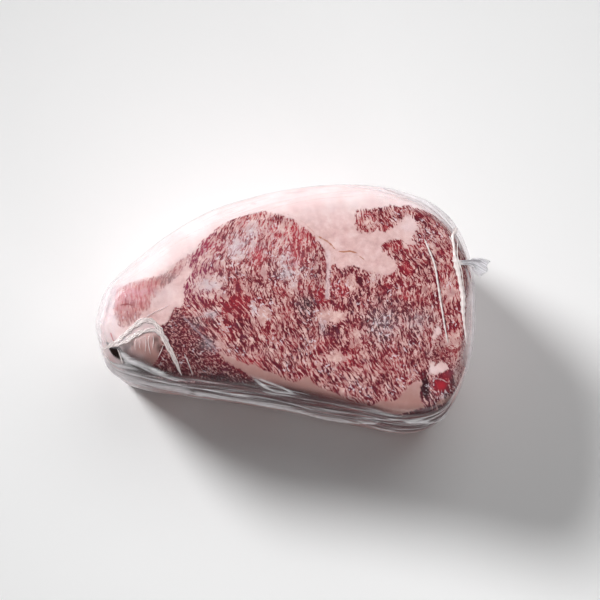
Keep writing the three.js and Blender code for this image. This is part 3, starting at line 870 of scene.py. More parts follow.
def folded_film(name, colour):
    """The same film lying double or gathered in pleats: many layers scatter the light, so that it
    gives the eye a silky white band with fine lines along it and clearer gaps between."""
    material, tree = new_material(name)
    lie = add_node(tree, "Attribute", out="Vector", attribute_name="lie")
    line = drawn_out(tree, lie, PLEAT_LINE, 2.0, 0.55, 0.6, "2D")
    relief = add_node(tree, "Bump", {"Strength": 0.6, "Distance": 0.5 * MM, "Height": line})
    share = add_node(tree, "MapRange", (line, 0.34, 0.6, 0.65, 1.4))
    milk = add_node(tree, "Attribute", out="Fac", attribute_name="milk")
    milk = add_node(tree, "Math", (milk, share), operation="MULTIPLY", use_clamp=True)
    film_surface(tree, milk, relief, 0.28, colour, 0.12)
    return material


# ---- film's lie -----------------------------------------------------------------------------

CLING = 0.5  # mm between film and meat where they touch

# Where the film stands off the meat: along the outline, how far each way, depth below the rim,
# how far each way, and the gap
STAND_OFFS = [
    (423, 46, 26, 34, 1.6),
    (325, 44, 12, 20, 4.0),
    (20, 46, 24, 30, 3.5),
    (750, 16, 14, 16, 4.5),
    (610, 110, 80, 44, 2.5),
]

# Folds drawn along the film: half width in mm, how milky the film is there (or, below zero, how far
# it is cleared), how far it lifts in mm, and the route as (along the outline, depth below the rim)
STREAKS = [
    # front, from the tail corner to the chine
    (2.6, 0.85, 0.8, [
        (744, 13), (732, 20), (725, 19), (717, 22), (710, 27), (701, 33), (692, 44), (680, 45),
        (669, 52), (640, 58),
    ]),
    (2.0, -1.0, -0.6, [
        (735, 22), (724, 26), (718, 30), (711, 35), (703, 42), (696, 48), (689, 58), (675, 63),
    ]),
    (1.1, 0.6, 0.5, [(739, 17), (726, 22), (718, 25), (711, 33)]),
    (1.2, 0.6, 0.6, [(746, 10), (738, 15), (734, 19), (728, 23), (721, 27)]),
    (2.4, -0.8, -0.5, [(733, 16), (725, 17), (717, 20), (709, 23), (700, 25)]),
    (2.6, 0.45, 0.3, [(724, 25), (716, 27), (705, 30), (695, 34), (686, 36)]),
    (16.0, 0.62, 0.6, [(752, 34), (739, 44), (727, 48), (709, 66), (698, 76), (686, 83)]),
    (26.0, 0.5, 0.0, [(764, 30), (747, 46), (735, 70), (720, 84)]),
    (3.0, -1.0, -0.5, [(728, 62), (721, 66), (717, 74), (708, 84)]),
    (2.2, 0.7, 0.6, [(720, 60), (716, 71), (710, 78), (698, 82), (687, 88), (679, 93)]),
    (3.4, -0.9, -0.5, [(712, 92), (700, 96), (690, 100), (676, 104)]),
    (5.0, 0.6, 0.6, [(700, 104), (684, 110), (668, 112)]),
    (10.0, 0.72, 1.5, [
        (690, 82), (682, 83), (662, 84), (650, 78), (638, 76), (626, 78), (614, 80), (602, 90),
        (592, 108), (582, 117), (570, 115), (560, 108), (548, 86),
    ]),
    (2.6, -1.0, -0.5, [(653, 47), (637, 33), (625, 23), (618, 27), (608, 27), (599, 25)]),
    (1.5, 0.8, 0.8, [(640, 11), (635, 14), (629, 18), (621, 21), (614, 19), (603, 18)]),
    (0.9, 0.75, 0.4, [(637, 11), (630, 12), (622, 13), (616, 14), (609, 17), (603, 19)]),
    (2.4, 0.7, 0.5, [(618, 53), (610, 51), (602, 53), (596, 56), (590, 64)]),
    (9.0, -0.9, 0.0, [(596, 22), (588, 30), (578, 36), (566, 38), (552, 40)]),
    (2.6, -1.0, -0.5, [(580, 99), (566, 101), (558, 97), (549, 76)]),
    (2.6, 0.95, 0.9, [(557, 57), (548, 55), (540, 46), (532, 33), (522, 27)]),
    (7.0, 0.9, 1.0, [(559, 82), (550, 86), (543, 80), (537, 58)]),
    (5.0, -1.0, 0.0, [(530, 16), (520, 14), (508, 14), (496, 18)]),
    (4.0, 0.85, 0.8, [(548, 104), (537, 107), (530, 102), (523, 103)]),
    (2.6, -0.8, -0.3, [(545, 80), (536, 63), (527, 40)]),
    (8.0, 0.95, 1.0, [(524, 34), (517, 38), (508, 44), (499, 68)]),
    (2.6, 0.9, 0.8, [(508, 60), (500, 66), (491, 84), (482, 84)]),
    (5.0, -0.9, -0.3, [(514, 96), (504, 108), (494, 110)]),
    # back, over the fat
    (1.3, 0.45, 0.5, [
        (240, 24), (255, 22), (271, 19), (288, 14), (301, 12), (318, 7), (329, 5), (342, 5),
        (353, 6), (366, 6),
    ]),
    (1.0, 0.4, 0.4, [(287, 22), (304, 17), (320, 11), (335, 8), (350, 8)]),
    (4.0, 0.55, 0.3, [(270, 26), (293, 17), (310, 14), (324, 13), (338, 13)]),
    # chine side
    (1.2, 0.6, 0.8, [(376, 6), (387, 8), (402, 11), (418, 12), (434, 11), (449, 12), (462, 16)]),
    (6.0, 0.5, 0.4, [(386, 11), (400, 12), (415, 13), (430, 12), (445, 10), (458, 12)]),
    (3.0, 0.45, 0.4, [(392, 22), (410, 27), (430, 26), (452, 24)]),
    (9.0, 0.55, 0.3, [(434, 18), (450, 19), (470, 22), (490, 24)]),
    # tail side
    (1.6, 0.35, 0.4, [(2, 8), (12, 9), (24, 12), (34, 16)]),
    (4.0, 0.3, 0.3, [(764, 12), (771, 16)]),
]

# The slit in the tail corner where the film spans it, painted dark on the meat as shade: places as in the
# folds above
POCKET = [(767, 15.5), (757, 10), (746, 10.5), (737, 22), (743.5, 25), (755, 24)]
WALL_LIE = (18.0, 0.55)  # below this depth, the folds lie this much closer than they would

# Depth below the rim from which the film is drawn in lines over the rib side, along the outline
DRAWN_FROM = [
    (0, 10), (485, 12), (500, 19), (530, 17), (545, 13), (560, 12), (600, 15), (625, 15), (640, 20),
    (655, 27), (690, 30), (705, 27), (720, 22), (735, 15), (745, 11), (771, 10),
]


def drawn_start(lay):
    """The depth below the rim from which the film is drawn, at each place."""
    along, below = np.array(DRAWN_FROM, float).T
    return np.interp(lay.along, along, below)


def film_gap(lay):
    """How far the film stands off the meat, in millimetres."""
    gap = np.full(len(lay.u), CLING)
    on_edge = smooth_step(0, 6, lay.below)
    for along, reach, below, spread, height in STAND_OFFS:
        off = (lay.along - along + outline.length / 2) % outline.length - outline.length / 2
        gap += height * on_edge * np.exp(-((off / reach) ** 2) - ((lay.below - below) / spread) ** 2)
    return gap


def film_streaks(lay):
    """How milky the drawn folds make each place, how much they clear it, and their lift."""
    milk, clearing, lift = (np.zeros(len(lay.u)) for _ in range(3))
    on_edge = smooth_step(0, 3, lay.below)
    for half, strength, rise, route in STREAKS:
        knots = np.array(sorted(route), float)
        level = np.interp(lay.along, knots[:, 0], knots[:, 1])
        start, end = knots[0, 0], knots[-1, 0]
        begun = smooth_step(start - 2, start + 8, lay.along)
        unended = smooth_step(end + 2, end - 8, lay.along)
        near = begun * unended * on_edge * np.exp(-(((lay.below - level) / half) ** 2))
        lift += rise * near
        if strength > 0:
            milk = np.maximum(milk, strength * near)
        else:
            clearing = np.maximum(clearing, -strength * near)
    return milk, clearing, lift


def pocket_depth(lay):
    """How far inside the slit at the tail corner each place lies."""
    return muscle_depth(np.column_stack([lay.along, lay.below]), POCKET)


def sweep(sections, milk, lie):
    """Lays a grid's vertices on rows of places, in millimetres, and joins those that meet."""
    rows, columns = sections.shape[:2]
    shape = bmesh.new()
    bmesh.ops.create_grid(shape, x_segments=columns - 1, y_segments=rows - 1, size=1)
    milkiness = shape.verts.layers.float.new("milk")
    lies = shape.verts.layers.float_vector.new("lie")
    for vertex in shape.verts:
        column = round((vertex.co.x + 1) / 2 * (columns - 1))
        row = round((vertex.co.y + 1) / 2 * (rows - 1))
        vertex.co = Vector(sections[row, column]) * MM
        vertex[milkiness] = milk[row, column]
        vertex[lies] = lie[row, column]
    bmesh.ops.remove_doubles(shape, verts=shape.verts, dist=1e-6)
    bmesh.ops.recalc_face_normals(shape, faces=shape.faces)
    return shape


def finish_piece(name, shapes, material):
    """One object from several shapes, smooth and at the origin."""
    mesh = bpy.data.meshes.new(name)
    whole = bmesh.new()
    for shape in shapes:
        part = bpy.data.meshes.new("part")
        shape.to_mesh(part)
        shape.free()
        whole.from_mesh(part)
        bpy.data.meshes.remove(part)
    whole.to_mesh(mesh)
    whole.free()
    mesh.polygons.foreach_set("use_smooth", np.ones(len(mesh.polygons), bool))
    mesh.materials.append(material)
    piece = bpy.data.objects.new(name, mesh)
    bpy.context.scene.collection.objects.link(piece)
    return piece


def open_curve(knots, count):
    """A smooth open curve through rows of numbers, evenly parted along its first three."""
    ends = np.vstack([2 * knots[0] - knots[1], knots, 2 * knots[-1] - knots[-2]])
    t = np.linspace(0, 1, 24, endpoint=False)[:, None]
    spans = []
    for k in range(1, len(ends) - 2):
        before, a, b, beyond = ends[k - 1 : k + 3]
        spans.append(hermite(t, a, b, (b - before) / 2, (beyond - a) / 2))
    fine = np.vstack([*spans, ends[-2:-1]])
    steps = np.linalg.norm(np.diff(fine[:, :3], axis=0), axis=1)
    run = np.concatenate([[0], np.cumsum(steps)])
    at = np.linspace(0, run[-1], count)
    return np.column_stack([np.interp(at, run, fine[:, k]) for k in range(fine.shape[1])]), at


class TopSkin:
    """Heights of the pack's upper side over its plan."""

    def __init__(self, lay):
        upper = np.flatnonzero((lay.out[:, 2] > 0.02) & (lay.place[:, 2] > 60))
        self.places = lay.place[upper]
        self.tree = KDTree(len(upper))
        for number, place in enumerate(self.places):
            self.tree.insert((place[0], place[1], 0), number)
        self.tree.balance()

    def height(self, x, y):
        found = self.tree.find_n((x, y, 0), 4)
        weights = [1 / (far + 0.05) ** 2 for _, _, far in found]
        heights = [self.places[number, 2] for _, number, _ in found]
        return float(np.dot(weights, heights) / sum(weights))


def route_on(top, knots, step):
    """The knots' smooth route laid on the upper side, its run, and its directions to the left."""
    flat = np.array(knots, float)
    heights = [top.height(x, y) for x, y in flat[:, :2]]
    places = np.column_stack([flat[:, :2], heights, flat[:, 2:]])
    length = np.linalg.norm(np.diff(places[:, :3], axis=0), axis=1).sum()
    curve, run = open_curve(places, max(int(length / step), 8))
    curve[:, 2] = [top.height(x, y) for x, y in curve[:, :2]]
    ahead = np.gradient(curve[:, :2], axis=0)
    ahead /= np.linalg.norm(ahead, axis=1)[:, None]
    return curve, run, np.column_stack([-ahead[:, 1], ahead[:, 0], np.zeros(len(curve))])


def crest(top, knots, around=12, step=1.6, tilt=0.0, beside=0.0, narrow=1.0, phase=1.0):
    """A fold of film standing on the upper side: a flat tube, pointed at both ends. Each knot is
    x, y, half width, rise and milkiness; the tilt throws the crest to the left of its route. A
    narrowed fold lies beside the route by a share of the knots' half width, and wanders there."""
    curve, run, left = route_on(top, knots, step)
    _, _, _, widths, rises, milkiness = curve.T
    ends = np.clip(np.minimum(run, run[-1] - run) / 3.0, 0, 1) ** 0.6
    crinkle = 0.6 * np.sin(1.1 * run + phase) + 0.4 * np.sin(2.7 * run + 2 * phase)
    wander = np.sin(0.7 * run + 3 * phase) + 0.5 * np.sin(1.9 * run + phase)
    aside = widths * (beside + (1 - narrow) * 0.4 * wander)
    middle = curve[:, :3] + left * aside[:, None]
    half = (narrow * widths * ends * (1 + 0.22 * crinkle))[:, None]
    rise = (rises * ends * (1 - 0.3 * crinkle))[:, None]

    turn = np.linspace(0, 2 * math.pi, around + 1)
    upper = np.maximum(np.sin(turn), 0)
    lift = np.where(np.sin(turn) > 0, np.sin(turn), np.sin(turn) * 0.35)
    across = half * np.cos(turn)
    sections = (
        middle[:, None]
        + left[:, None] * (across + tilt * rise * upper)[..., None]
        + np.array([0, 0, 1.0]) * (rise * lift)[..., None]
    )
    milk = milkiness[:, None] * (0.4 + 0.6 * upper) * (1 + 0.1 * crinkle[:, None])
    lie = np.stack(np.broadcast_arrays(run[:, None], across, 0.0), axis=-1)
    return sweep(sections, milk, lie)


def frayed(top, knots):
    """A wide crease: a low, half clear band with thin ridges that wander along it."""
    flat = np.array(knots, float)
    band = crest(top, flat * (1, 1, 1, 0.6, 0.8), tilt=0.4)
    raised = flat * (1, 1, 1, 1.3, 1.3)
    ridges = [
        crest(top, raised, around=8, step=0.9, beside=beside, narrow=narrow, phase=phase)
        for beside, narrow, phase in FRAYS
    ]
    return [band, *ridges]


# Ridges of a wide crease: where each lies across it, from -1 to 1, its share of the width and the
# phase of its waves
FRAYS = [(-0.85, 0.2, 0.4), (-0.3, 0.24, 2.1), (0.25, 0.18, 3.7), (0.8, 0.24, 5.2)]

# Folds that stand on the cut face; each knot is x, y, half width, rise and milkiness
ARCH_BANDS = [
    # the upper strand, which runs on as the long spike
    [
        (-141.5, -39.5, 0.8, 0.33, 0.76), (-137, -38.2, 1.15, 0.41, 0.8),
        (-131.5, -36, 1.26, 0.46, 0.76), (-126, -31.9, 1.15, 0.49, 0.71),
        (-119.8, -26.2, 1.38, 0.49, 0.85), (-113.3, -20.8, 1.72, 0.54, 0.9),
        (-107.6, -18.5, 1.84, 0.54, 0.9), (-102.7, -20.2, 1.61, 0.49, 0.8),
        (-98.3, -24.8, 1.72, 0.49, 0.66), (-94.8, -31, 1.84, 0.54, 0.57),
        (-91.3, -37.9, 1.72, 0.54, 0.57), (-87.8, -44.6, 1.38, 0.49, 0.61),
        (-84.9, -51.5, 0.92, 0.41, 0.66), (-81.5, -58.6, 0.34, 0.29, 0.76),
    ],
    # the lower strand
    [
        (-134, -38.4, 0.8, 0.33, 0.66), (-128.4, -36.6, 1.15, 0.41, 0.8),
        (-123.1, -34.6, 1.38, 0.46, 0.85), (-119.4, -32.4, 1.49, 0.49, 0.85),
        (-115.1, -29.5, 1.49, 0.49, 0.85), (-110.7, -27.6, 1.38, 0.46, 0.8),
        (-104.7, -26, 1.26, 0.41, 0.71), (-99.8, -27.4, 1.03, 0.38, 0.66),
        (-96.4, -31, 0.57, 0.25, 0.57),
    ],
]
ARCH = [
    # bright edges of the spike
    [
        (-98.5, -27, 0.3, 0.83, 0.66), (-94.9, -34.5, 0.4, 0.99, 0.8),
        (-90.5, -42, 0.35, 0.94, 0.76), (-86.8, -49.5, 0.25, 0.72, 0.76),
    ],
    [
        (-93.2, -32, 0.25, 0.66, 0.57), (-89.3, -39.4, 0.35, 0.83, 0.76),
        (-85.6, -46.8, 0.3, 0.83, 0.8), (-82.6, -54.6, 0.2, 0.55, 0.76),
    ],
    # the second, fine spike
    [
        (-79.5, -43.2, 0.3, 0.39, 0.48), (-78.3, -45.6, 0.35, 0.5, 0.61),
        (-75.6, -51.9, 0.35, 0.5, 0.61), (-73.1, -58.9, 0.2, 0.33, 0.48),
    ],
    # the crease that goes on towards the eye muscle
    [
        (-108, -17.3, 0.6, 0.4, 0.45), (-103.2, -13.5, 0.5, 0.35, 0.27),
        (-98.9, -11.4, 0.5, 0.35, 0.32), (-95.3, -9.6, 0.4, 0.3, 0.27),
        (-89.6, -6.4, 0.25, 0.2, 0.18),
    ],
    # fan of wrinkles under the arch
    [(-118.6, -35, 0.25, 0.25, 0.27), (-119.2, -38.6, 0.3, 0.3, 0.32), (-118.4, -41.5, 0.2, 0.2, 0.23)],
    [(-114.8, -32, 0.25, 0.3, 0.32), (-115.9, -36.2, 0.35, 0.35, 0.41), (-115.6, -42, 0.2, 0.2, 0.27)],
    [(-110.9, -31.4, 0.2, 0.25, 0.27), (-112.4, -37.8, 0.3, 0.3, 0.32), (-111.4, -41, 0.2, 0.2, 0.27)],
    [(-108.6, -29.8, 0.3, 0.35, 0.45), (-107.6, -35.5, 0.4, 0.4, 0.45), (-108.4, -43.4, 0.25, 0.2, 0.32)],
    [(-105, -29, 0.3, 0.35, 0.45), (-105.9, -34.8, 0.35, 0.4, 0.54), (-104.2, -44.8, 0.25, 0.25, 0.36)],
    [(-102.6, -29.4, 0.25, 0.3, 0.45), (-102, -34, 0.35, 0.4, 0.59), (-102.8, -40.5, 0.3, 0.3, 0.45)],
    [(-94.5, -36.4, 0.25, 0.3, 0.41), (-96.2, -41.5, 0.3, 0.4, 0.54), (-99.2, -47, 0.2, 0.25, 0.36)],
    # light rims of the slit in the corner
    [(-129, -39.8, 0.4, 0.4, 0.63), (-127.2, -44, 0.6, 0.5, 0.81), (-125.6, -50.4, 0.5, 0.5, 0.81)],
    [
        (-141, -41.4, 0.5, 0.4, 0.54), (-138.6, -44, 0.6, 0.4, 0.54), (-134, -49, 0.6, 0.4, 0.5),
        (-129, -51.6, 0.5, 0.4, 0.45),
    ],
]
# The web of film between the arch's strands, in plan
WEB = [
    (-141, -39.5), (-131.5, -35), (-119.8, -25.5), (-107.6, -18.5), (-98.3, -24.8), (-96, -31),
    (-104.7, -27), (-110.7, -28.6), (-119.4, -33.4), (-128.4, -37.6),
]
CREASE = [
    [
        (99.6, 43.5, 0.3, 0.28, 1), (100.8, 40.4, 0.59, 0.5, 1), (104.1, 32.3, 0.71, 0.55, 1),
        (107.4, 22.4, 0.78, 0.61, 1), (109.3, 10.1, 0.71, 0.61, 1), (110.9, -1.3, 0.78, 0.61, 1),
        (112.9, -14.9, 0.71, 0.55, 1), (115.2, -29.9, 0.59, 0.44, 1), (116.3, -36, 0.3, 0.22, 1),
    ],
]
RIBBON = [
    [
        (124.6, 53.6, 0.99, 0.4, 0.88), (123, 50, 1.77, 0.75, 0.99), (121.2, 45.5, 1.22, 0.8, 0.99),
        (121.6, 40, 1.1, 0.85, 0.99), (122.1, 34, 1.22, 0.9, 0.99), (122.6, 28.2, 1.66, 1, 0.99),
        (124, 22.4, 2.54, 1.1, 0.99), (125.3, 15.5, 1.77, 1, 0.99), (126.6, 7.9, 1.66, 0.95, 0.99),
        (128, -1.2, 1.99, 0.95, 0.99), (128, -10.9, 1.66, 0.85, 0.94),
        (128.6, -20.1, 0.99, 0.7, 0.88), (129.7, -29.8, 0.66, 0.45, 0.77),
        (130.3, -37, 0.33, 0.25, 0.66),
    ],
    # a torn strand beside its head
    [(118, 45.8, 0.44, 0.3, 0.77), (120.4, 41.8, 0.77, 0.5, 0.94), (121.8, 37, 0.44, 0.4, 0.88)],
    # its bright edge
    [
        (125.4, 45, 0.33, 0.8, 0.55), (124.4, 36, 0.38, 1.1, 0.66), (124.6, 29, 0.44, 1.2, 0.88),
        (127.4, 19, 0.38, 1.1, 0.88), (128.6, 8, 0.33, 0.9, 0.77), (130.2, -2, 0.33, 0.7, 0.66),
    ],
    # the strand to the gathered end
    [
        (119.5, 26.6, 0.55, 0.35, 0.77), (122.4, 26, 1.33, 0.8, 0.94),
        (126, 24.9, 1.88, 1.05, 0.99), (130, 24.8, 1.44, 0.7, 0.88),
    ],
]

# Gathered end of the bag: centre line, half width, depth of its pleats
TAIL = [
    (123.5, 24.5, 150.5, 1.6, 0.5), (128.5, 25.0, 149.8, 1.7, 0.6), (133, 25.6, 147.5, 2.0, 0.7),
    (137, 25.6, 145.2, 3.8, 1.1), (141.5, 23.8, 143.6, 6.4, 1.5), (146.6, 21.0, 142.4, 7.4, 1.2),
]
TAIL_PLEATS = 2.6


def gathered_tail():
    """The bag's gathered end: pinched where it leaves the pack and fanned out to its cut edge."""
    curve, run = open_curve(np.array(TAIL, float), 34)
    ahead = np.gradient(curve[:, :3], axis=0)
    ahead /= np.linalg.norm(ahead, axis=1)[:, None]
    across = np.cross([0, 0, 1.0], ahead)
    across /= np.linalg.norm(across, axis=1)[:, None]
    up = np.cross(ahead, across)
    w = np.linspace(-1, 1, 45)
    share = run / run[-1]
    fold = np.sin(w[None] * TAIL_PLEATS * math.pi + 1.1 * share[:, None] + 0.4)
    fold += 0.35 * np.sin(w[None] * 7.3 + 2.4 + 2 * share[:, None])
    sag = -0.9 * (w[None] ** 2) * share[:, None]
    reach = 1.1 * np.cos(w * 4.4 + 0.6) * share[:, None] ** 3
    half = curve[:, 3][:, None]
    sections = (
        curve[:, None, :3]
        + across[:, None] * (half * w[None])[..., None]
        + up[:, None] * (curve[:, 4][:, None] * fold + sag)[..., None]
        + ahead[:, None] * reach[..., None]
    )
    milk = 0.82 + 0.12 * np.abs(fold) * np.ones_like(half) + 0.2 * (np.abs(w[None]) > 0.93)
    lie = np.stack(np.broadcast_arrays(run[:, None], half * w[None], 0.0), axis=-1)
    return sweep(sections, np.clip(milk, 0, 1), lie)


# ---- pieces ---------------------------------------------------------------------------------

FRONT_SLANT = 0.16  # the rib side's lean in plan
MUSCLE_BLUR = 1.5  # mm over which one muscle's values turn into its neighbour's

# Places in plan: x, y, radius along x and along y
# painted shade in the hollows under the arch
ARCH_GAPS = [(-100, -33, 3.2, 3.4), (-98, -39, 2.6, 5.0)]
ARCH_SHADE = (-113, -49, 14, 5)
# painted shade on the fat under the arch of pleats
ARCH_FAT_SHADE = (-112, -41, 12, 8)
DULL_SHOULDER = (-138, -8, 12, 24)
INNER_WHITE = [(0.8, (105.5, -56, 8, 4)), (0.3, (-92, 0, 12, 14)), (0.7, (88, 53, 6, 5))]


def seam_values(plan, shown):
    """Distance to the nearest seam, how far it shows, its kind and its half width. The seams show
    by a share at each place, so that they don't run down the walls."""
    nearest = np.full(len(plan), 30.0)
    fade, kind, half = np.zeros(len(plan)), np.zeros(len(plan)), np.ones(len(plan))
    for seam_kind, seam_half, strength, route in SEAMS:
        run = np.array(route, float)
        far = route_distance(plan, run)
        past = np.zeros(len(plan))
        for end, inner in ((run[0], run[1]), (run[-1], run[-2])):
            outward = (end - inner) / np.linalg.norm(end - inner)
            near_end = np.linalg.norm(plan - end, axis=1) < far + 1e-6
            past = np.maximum(past, np.where(near_end, (plan - end) @ outward, 0))
        nearer = far < nearest
        nearest = np.where(nearer, far, nearest)
        kind = np.where(nearer, seam_kind, kind)
        half = np.where(nearer, seam_half, half)
        fade = np.where(nearer, smooth_step(2.5, 0.0, past) * strength, fade)
    return {"seam_off": nearest, "seam_fade": fade * shown, "seam_kind": kind, "seam_half": half}


def distance_inside(lay):
    """How far each place lies from the outline, in plan."""
    route = outline.table[:-1:8, :2] + PLAN_SHIFT  # the last point is the first again
    return route_distance(lay.plan, route, closed=True)


def toward_back(plan):
    """How far each place lies from the pack's long axis towards the fat cap."""
    return plan[:, 1] + FRONT_SLANT * plan[:, 0]


def mixed_muscles(lay, depths):
    """Each place's share of fat, brightness of lean, haze of film with its painted sheen, and fineness of
    marbling.
    """
    share = np.full(len(lay.plan), 0.5)
    tone, haze_and_sheen, fine = (np.zeros(len(lay.plan)) for _ in range(3))
    for name, (fat, bright, fineness, _) in MUSCLES.items():
        weight = 1 / (1 + np.exp(-np.clip(depths[name] / MUSCLE_BLUR, -30, 30)))
        share += weight * (fat - 0.5)
        tone += weight * bright
        fine += weight * fineness
    for x, y, rx, ry, fat, bright, cover in PATCHES:
        near = bump(lay.plan, x, y, rx, ry) * (lay.out[:, 2] > 0)
        share += fat * near
        tone += bright * near
        haze_and_sheen += cover * near
    return share, tone, np.clip(haze_and_sheen, 0, 1), np.clip(fine, 0, 1)


def purple_end(plan):
    """The eye muscle's thin end, where the lean is more purple."""
    x, y = plan.T
    return 0.6 * smooth_step(-46, -70, x) * smooth_step(-92, -82, x) * smooth_step(-12, 8, y)


def tinted_and_shaded_fat(plan):
    """Fat browned along the rib side, partly a dried tint and partly painted shade where its shoulder
    turns from the key, and painted shade under the arch of pleats.
    """
    front = smooth_step(-34, -64, toward_back(plan)) * smooth_step(-126, -104, plan[:, 0])
    return 0.85 * np.maximum(front, bump(plan, *ARCH_FAT_SHADE))


def outer_fat(lay):
    """Fat that is the waxy white of the roll's outside."""
    rim = smooth_step(46, 4, distance_inside(lay))
    unstripped = smooth_step(-34, -10, toward_back(lay.plan))
    tail_end = smooth_step(-96, -116, lay.plan[:, 0])
    inner = sum(share * bump(lay.plan, *spot) for share, spot in INNER_WHITE)
    return np.maximum(rim * np.maximum(unstripped, tail_end), inner)


def painted_shade_places(lay):
    """Painted shade: in the slit in the tail corner, in the gap under the arch and below the arch."""
    slit = smooth_step(-0.6, 1.2, pocket_depth(lay))
    gap = 0.75 * np.maximum(*(bump(lay.plan, *place) for place in ARCH_GAPS))
    return np.maximum(np.maximum(slit, gap), 0.55 * bump(lay.plan, *ARCH_SHADE))


def build_meat():
    lay = Skin(MEAT_RINGS)
    plan = lay.plan
    depths = {name: muscle_depth(plan, route) for name, (*_, route) in MUSCLES.items()}
    share, tone, haze_and_sheen, fine = mixed_muscles(lay, depths)
    past_start = lay.below - drawn_start(lay)
    off_the_faces = smooth_step(0, 10, past_start) * smooth_step(1, 9, lay.place[:, 2])
    stripped = smooth_step(-50, -60, toward_back(plan)) * smooth_step(-131, -122, plan[:, 0])
    values = {
        "grain": grain_coordinates(plan),
        "muscle": np.max(list(depths.values()), axis=0) - 9 * off_the_faces,
        "fat_share": share,
        "tone": tone,
        "haze_and_sheen": haze_and_sheen,
        "fine": fine,
        "soft": 0.62 * smooth_step(-4, 2, depths["tail"]),
        "cool": purple_end(plan),
        **seam_values(plan, smooth_step(30, 18, lay.below)),
        "wall": smooth_step(14, 30, lay.below),
        "rib_side": stripped * smooth_step(-8, 2, past_start),
        "fat_tint_and_shade": tinted_and_shaded_fat(plan),
        "outer": outer_fat(lay),
        "painted_shade": painted_shade_places(lay),
    }
    piece = lay.piece("raw_beef", -film_gap(lay))
    for name, value in values.items():
        give_values(piece, name, value)
    piece.data.materials.append(beef_material())
    return piece


def film_milk_values(lay, milk):
    """How milky the film is: its folds, the haze over the meat with its painted sheen and glints, where
    it stands off, the web.
    """
    upper = lay.out[:, 2] > 0
    for x, y, rx, ry, _, _, haze_and_sheen in PATCHES:
        milk += 0.09 * haze_and_sheen * bump(lay.plan, x, y, rx, ry) * upper
    milk += 0.04 * (film_gap(lay) - CLING)
    milk += 0.34 * smooth_step(-0.8, 1.2, muscle_depth(lay.plan, WEB)) * upper
    return np.clip(milk, 0, 1)


def build_film():
    lay = Skin(FILM_RINGS)
    milk, clearing, lift = film_streaks(lay)
    clear_share = 1 - np.maximum(clearing, smooth_step(-1.2, 0.6, pocket_depth(lay)))
    piece = lay.piece("clear_film", np.clip(lift, -0.3, 2))
    turn, closer = WALL_LIE
    across = np.minimum(lay.below, turn) + np.maximum(lay.below - turn, 0) * closer
    front = 0.2 + 0.8 * smooth_step(-40, -56, toward_back(lay.plan))
    past_start = smooth_step(-4, 3, lay.below - drawn_start(lay))
    dull = np.clip(1.5 * bump(lay.plan, *DULL_SHOULDER), 0, 1) * (lay.out[:, 2] > 0)
    values = {
        "milk": film_milk_values(lay, milk) * clear_share,
        "wall": smooth_step(3, 9, lay.below),
        "drawn": front * past_start * clear_share,
        "lie": np.column_stack([lay.along, across, np.zeros(len(across))]),
        "dull": 0.9 * dull,
    }
    for name, value in values.items():
        give_values(piece, name, value)
    piece.data.materials.append(clear_film())
    return piece, TopSkin(lay)


def build_folds(top):
    pleats = folded_film("pleated_vacuum_pouch_film", "#fef2f0")
    gathered = folded_film("gathered_vacuum_pouch_film", "#f3f1f5")
    corner = [fold for knots in ARCH_BANDS for fold in frayed(top, knots)]
    corner += [crest(top, knots, tilt=0.4) for knots in ARCH]
    pieces = [
        finish_piece("corner_pleats", corner, pleats),
        finish_piece("face_crease", [crest(top, knots) for knots in CREASE], pleats),
        finish_piece("chine_ribbon", [crest(top, knots) for knots in RIBBON], pleats),
    ]
    tail = finish_piece("gathered_tail", [gathered_tail()], gathered)
    walls = tail.modifiers.new("film thickness", "SOLIDIFY")
    walls.thickness = 0.25 * MM
    walls.offset = 0
    return [*pieces, tail]


# ---- studio ---------------------------------------------------------------------------------

CAMERA_TARGET = Vector((6.667, -1.729, 140)) * MM
CAMERA_DISTANCE = 1.4
CAMERA_ELEVATION = math.radians(80)


def aim(holder, place, target):
    """Puts a light or the camera in its place, turned to a target."""
    holder.location = place
    holder.rotation_euler = (Vector(target) - Vector(place)).to_track_quat("-Z", "Y").to_euler()
    bpy.context.scene.collection.objects.link(holder)


def add_camera():
    lens = bpy.data.cameras.new("camera")
    lens.sensor_width = 36
    lens.lens = 112
    camera = bpy.data.objects.new("camera", lens)
    back = Vector((0, -math.cos(CAMERA_ELEVATION), math.sin(CAMERA_ELEVATION)))
    aim(camera, CAMERA_TARGET + back * CAMERA_DISTANCE, CAMERA_TARGET)
    bpy.context.scene.camera = camera


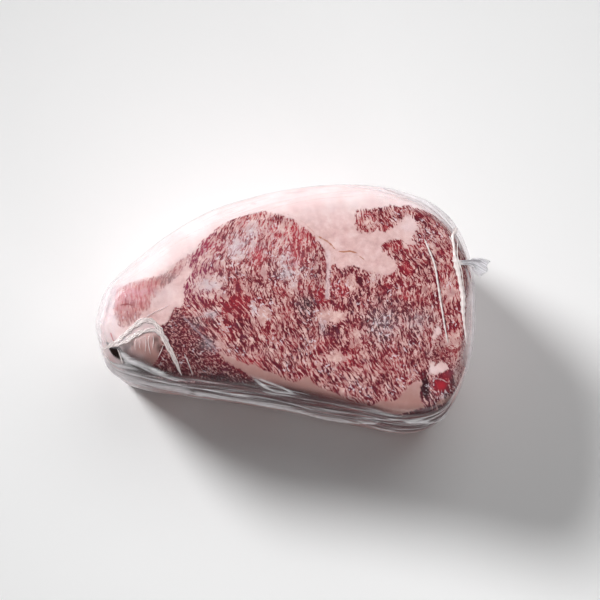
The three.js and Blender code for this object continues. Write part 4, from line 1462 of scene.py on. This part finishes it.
def polar(azimuth, elevation, distance):
    """A place round the pack: azimuth from +X towards +Y, elevation above the floor."""
    around, above = math.radians(azimuth), math.radians(elevation)
    flat = math.cos(above) * distance
    return Vector((flat * math.cos(around), flat * math.sin(around), math.sin(above) * distance))


def add_light(name, place, size, power, target=(0, 0, 0.08), spread=180):
    lamp = bpy.data.lights.new(name, "AREA")
    lamp.shape = "DISK"
    lamp.size = size
    lamp.energy = power
    lamp.spread = math.radians(spread)
    holder = bpy.data.objects.new(name, lamp)
    aim(holder, place, target)
    return holder


def add_studio():
    # the key is turned past the pack, so that the floor is as bright on its far side as on its near
    add_light("key", polar(142, 46, 2.0), 0.6, 9.7, target=(0.95, -0.85, 0), spread=76)
    softbox = add_light("softbox", polar(58, 63, 2.2), 1.5, 12.5)
    softbox.visible_glossy = False
    # low enough to light the walls and leave the floor's shadow dark
    add_light("low_front_fill", polar(-58, 7, 2.3), 1.0, 17.0)
    # seen in the film's gloss alone, as the bright lines of the front wall
    card = add_light("front_card", polar(-80, 14, 2.3), 1.6, 24.0)
    card.visible_diffuse = False
    world = bpy.data.worlds.new("studio")
    world.use_nodes = True
    background = world.node_tree.nodes["Background"]
    background.inputs["Color"].default_value = paint("#ffffff")
    background.inputs["Strength"].default_value = 0.1
    bpy.context.scene.world = world
    bpy.context.scene.view_settings.view_transform = "Standard"


def add_floor():
    shape = bmesh.new()
    bmesh.ops.create_grid(shape, x_segments=1, y_segments=1, size=6)
    mesh = bpy.data.meshes.new("floor")
    shape.to_mesh(mesh)
    shape.free()
    floor = bpy.data.objects.new("floor", mesh)
    bpy.context.scene.collection.objects.link(floor)
    material, tree = new_material("matt_white_backdrop")
    paper = add_node(tree, "BsdfPrincipled", {"Base Color": (0.9, 0.9, 0.9, 1), "Roughness": 0.9})
    add_node(tree, "OutputMaterial", {"Surface": paper})
    mesh.materials.append(material)


add_camera()
add_studio()
add_floor()

beef = build_meat()
film, top_skin = build_film()
for piece in (beef, film, *build_folds(top_skin)):
    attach(piece, "root")
    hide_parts("vacuum_pack")
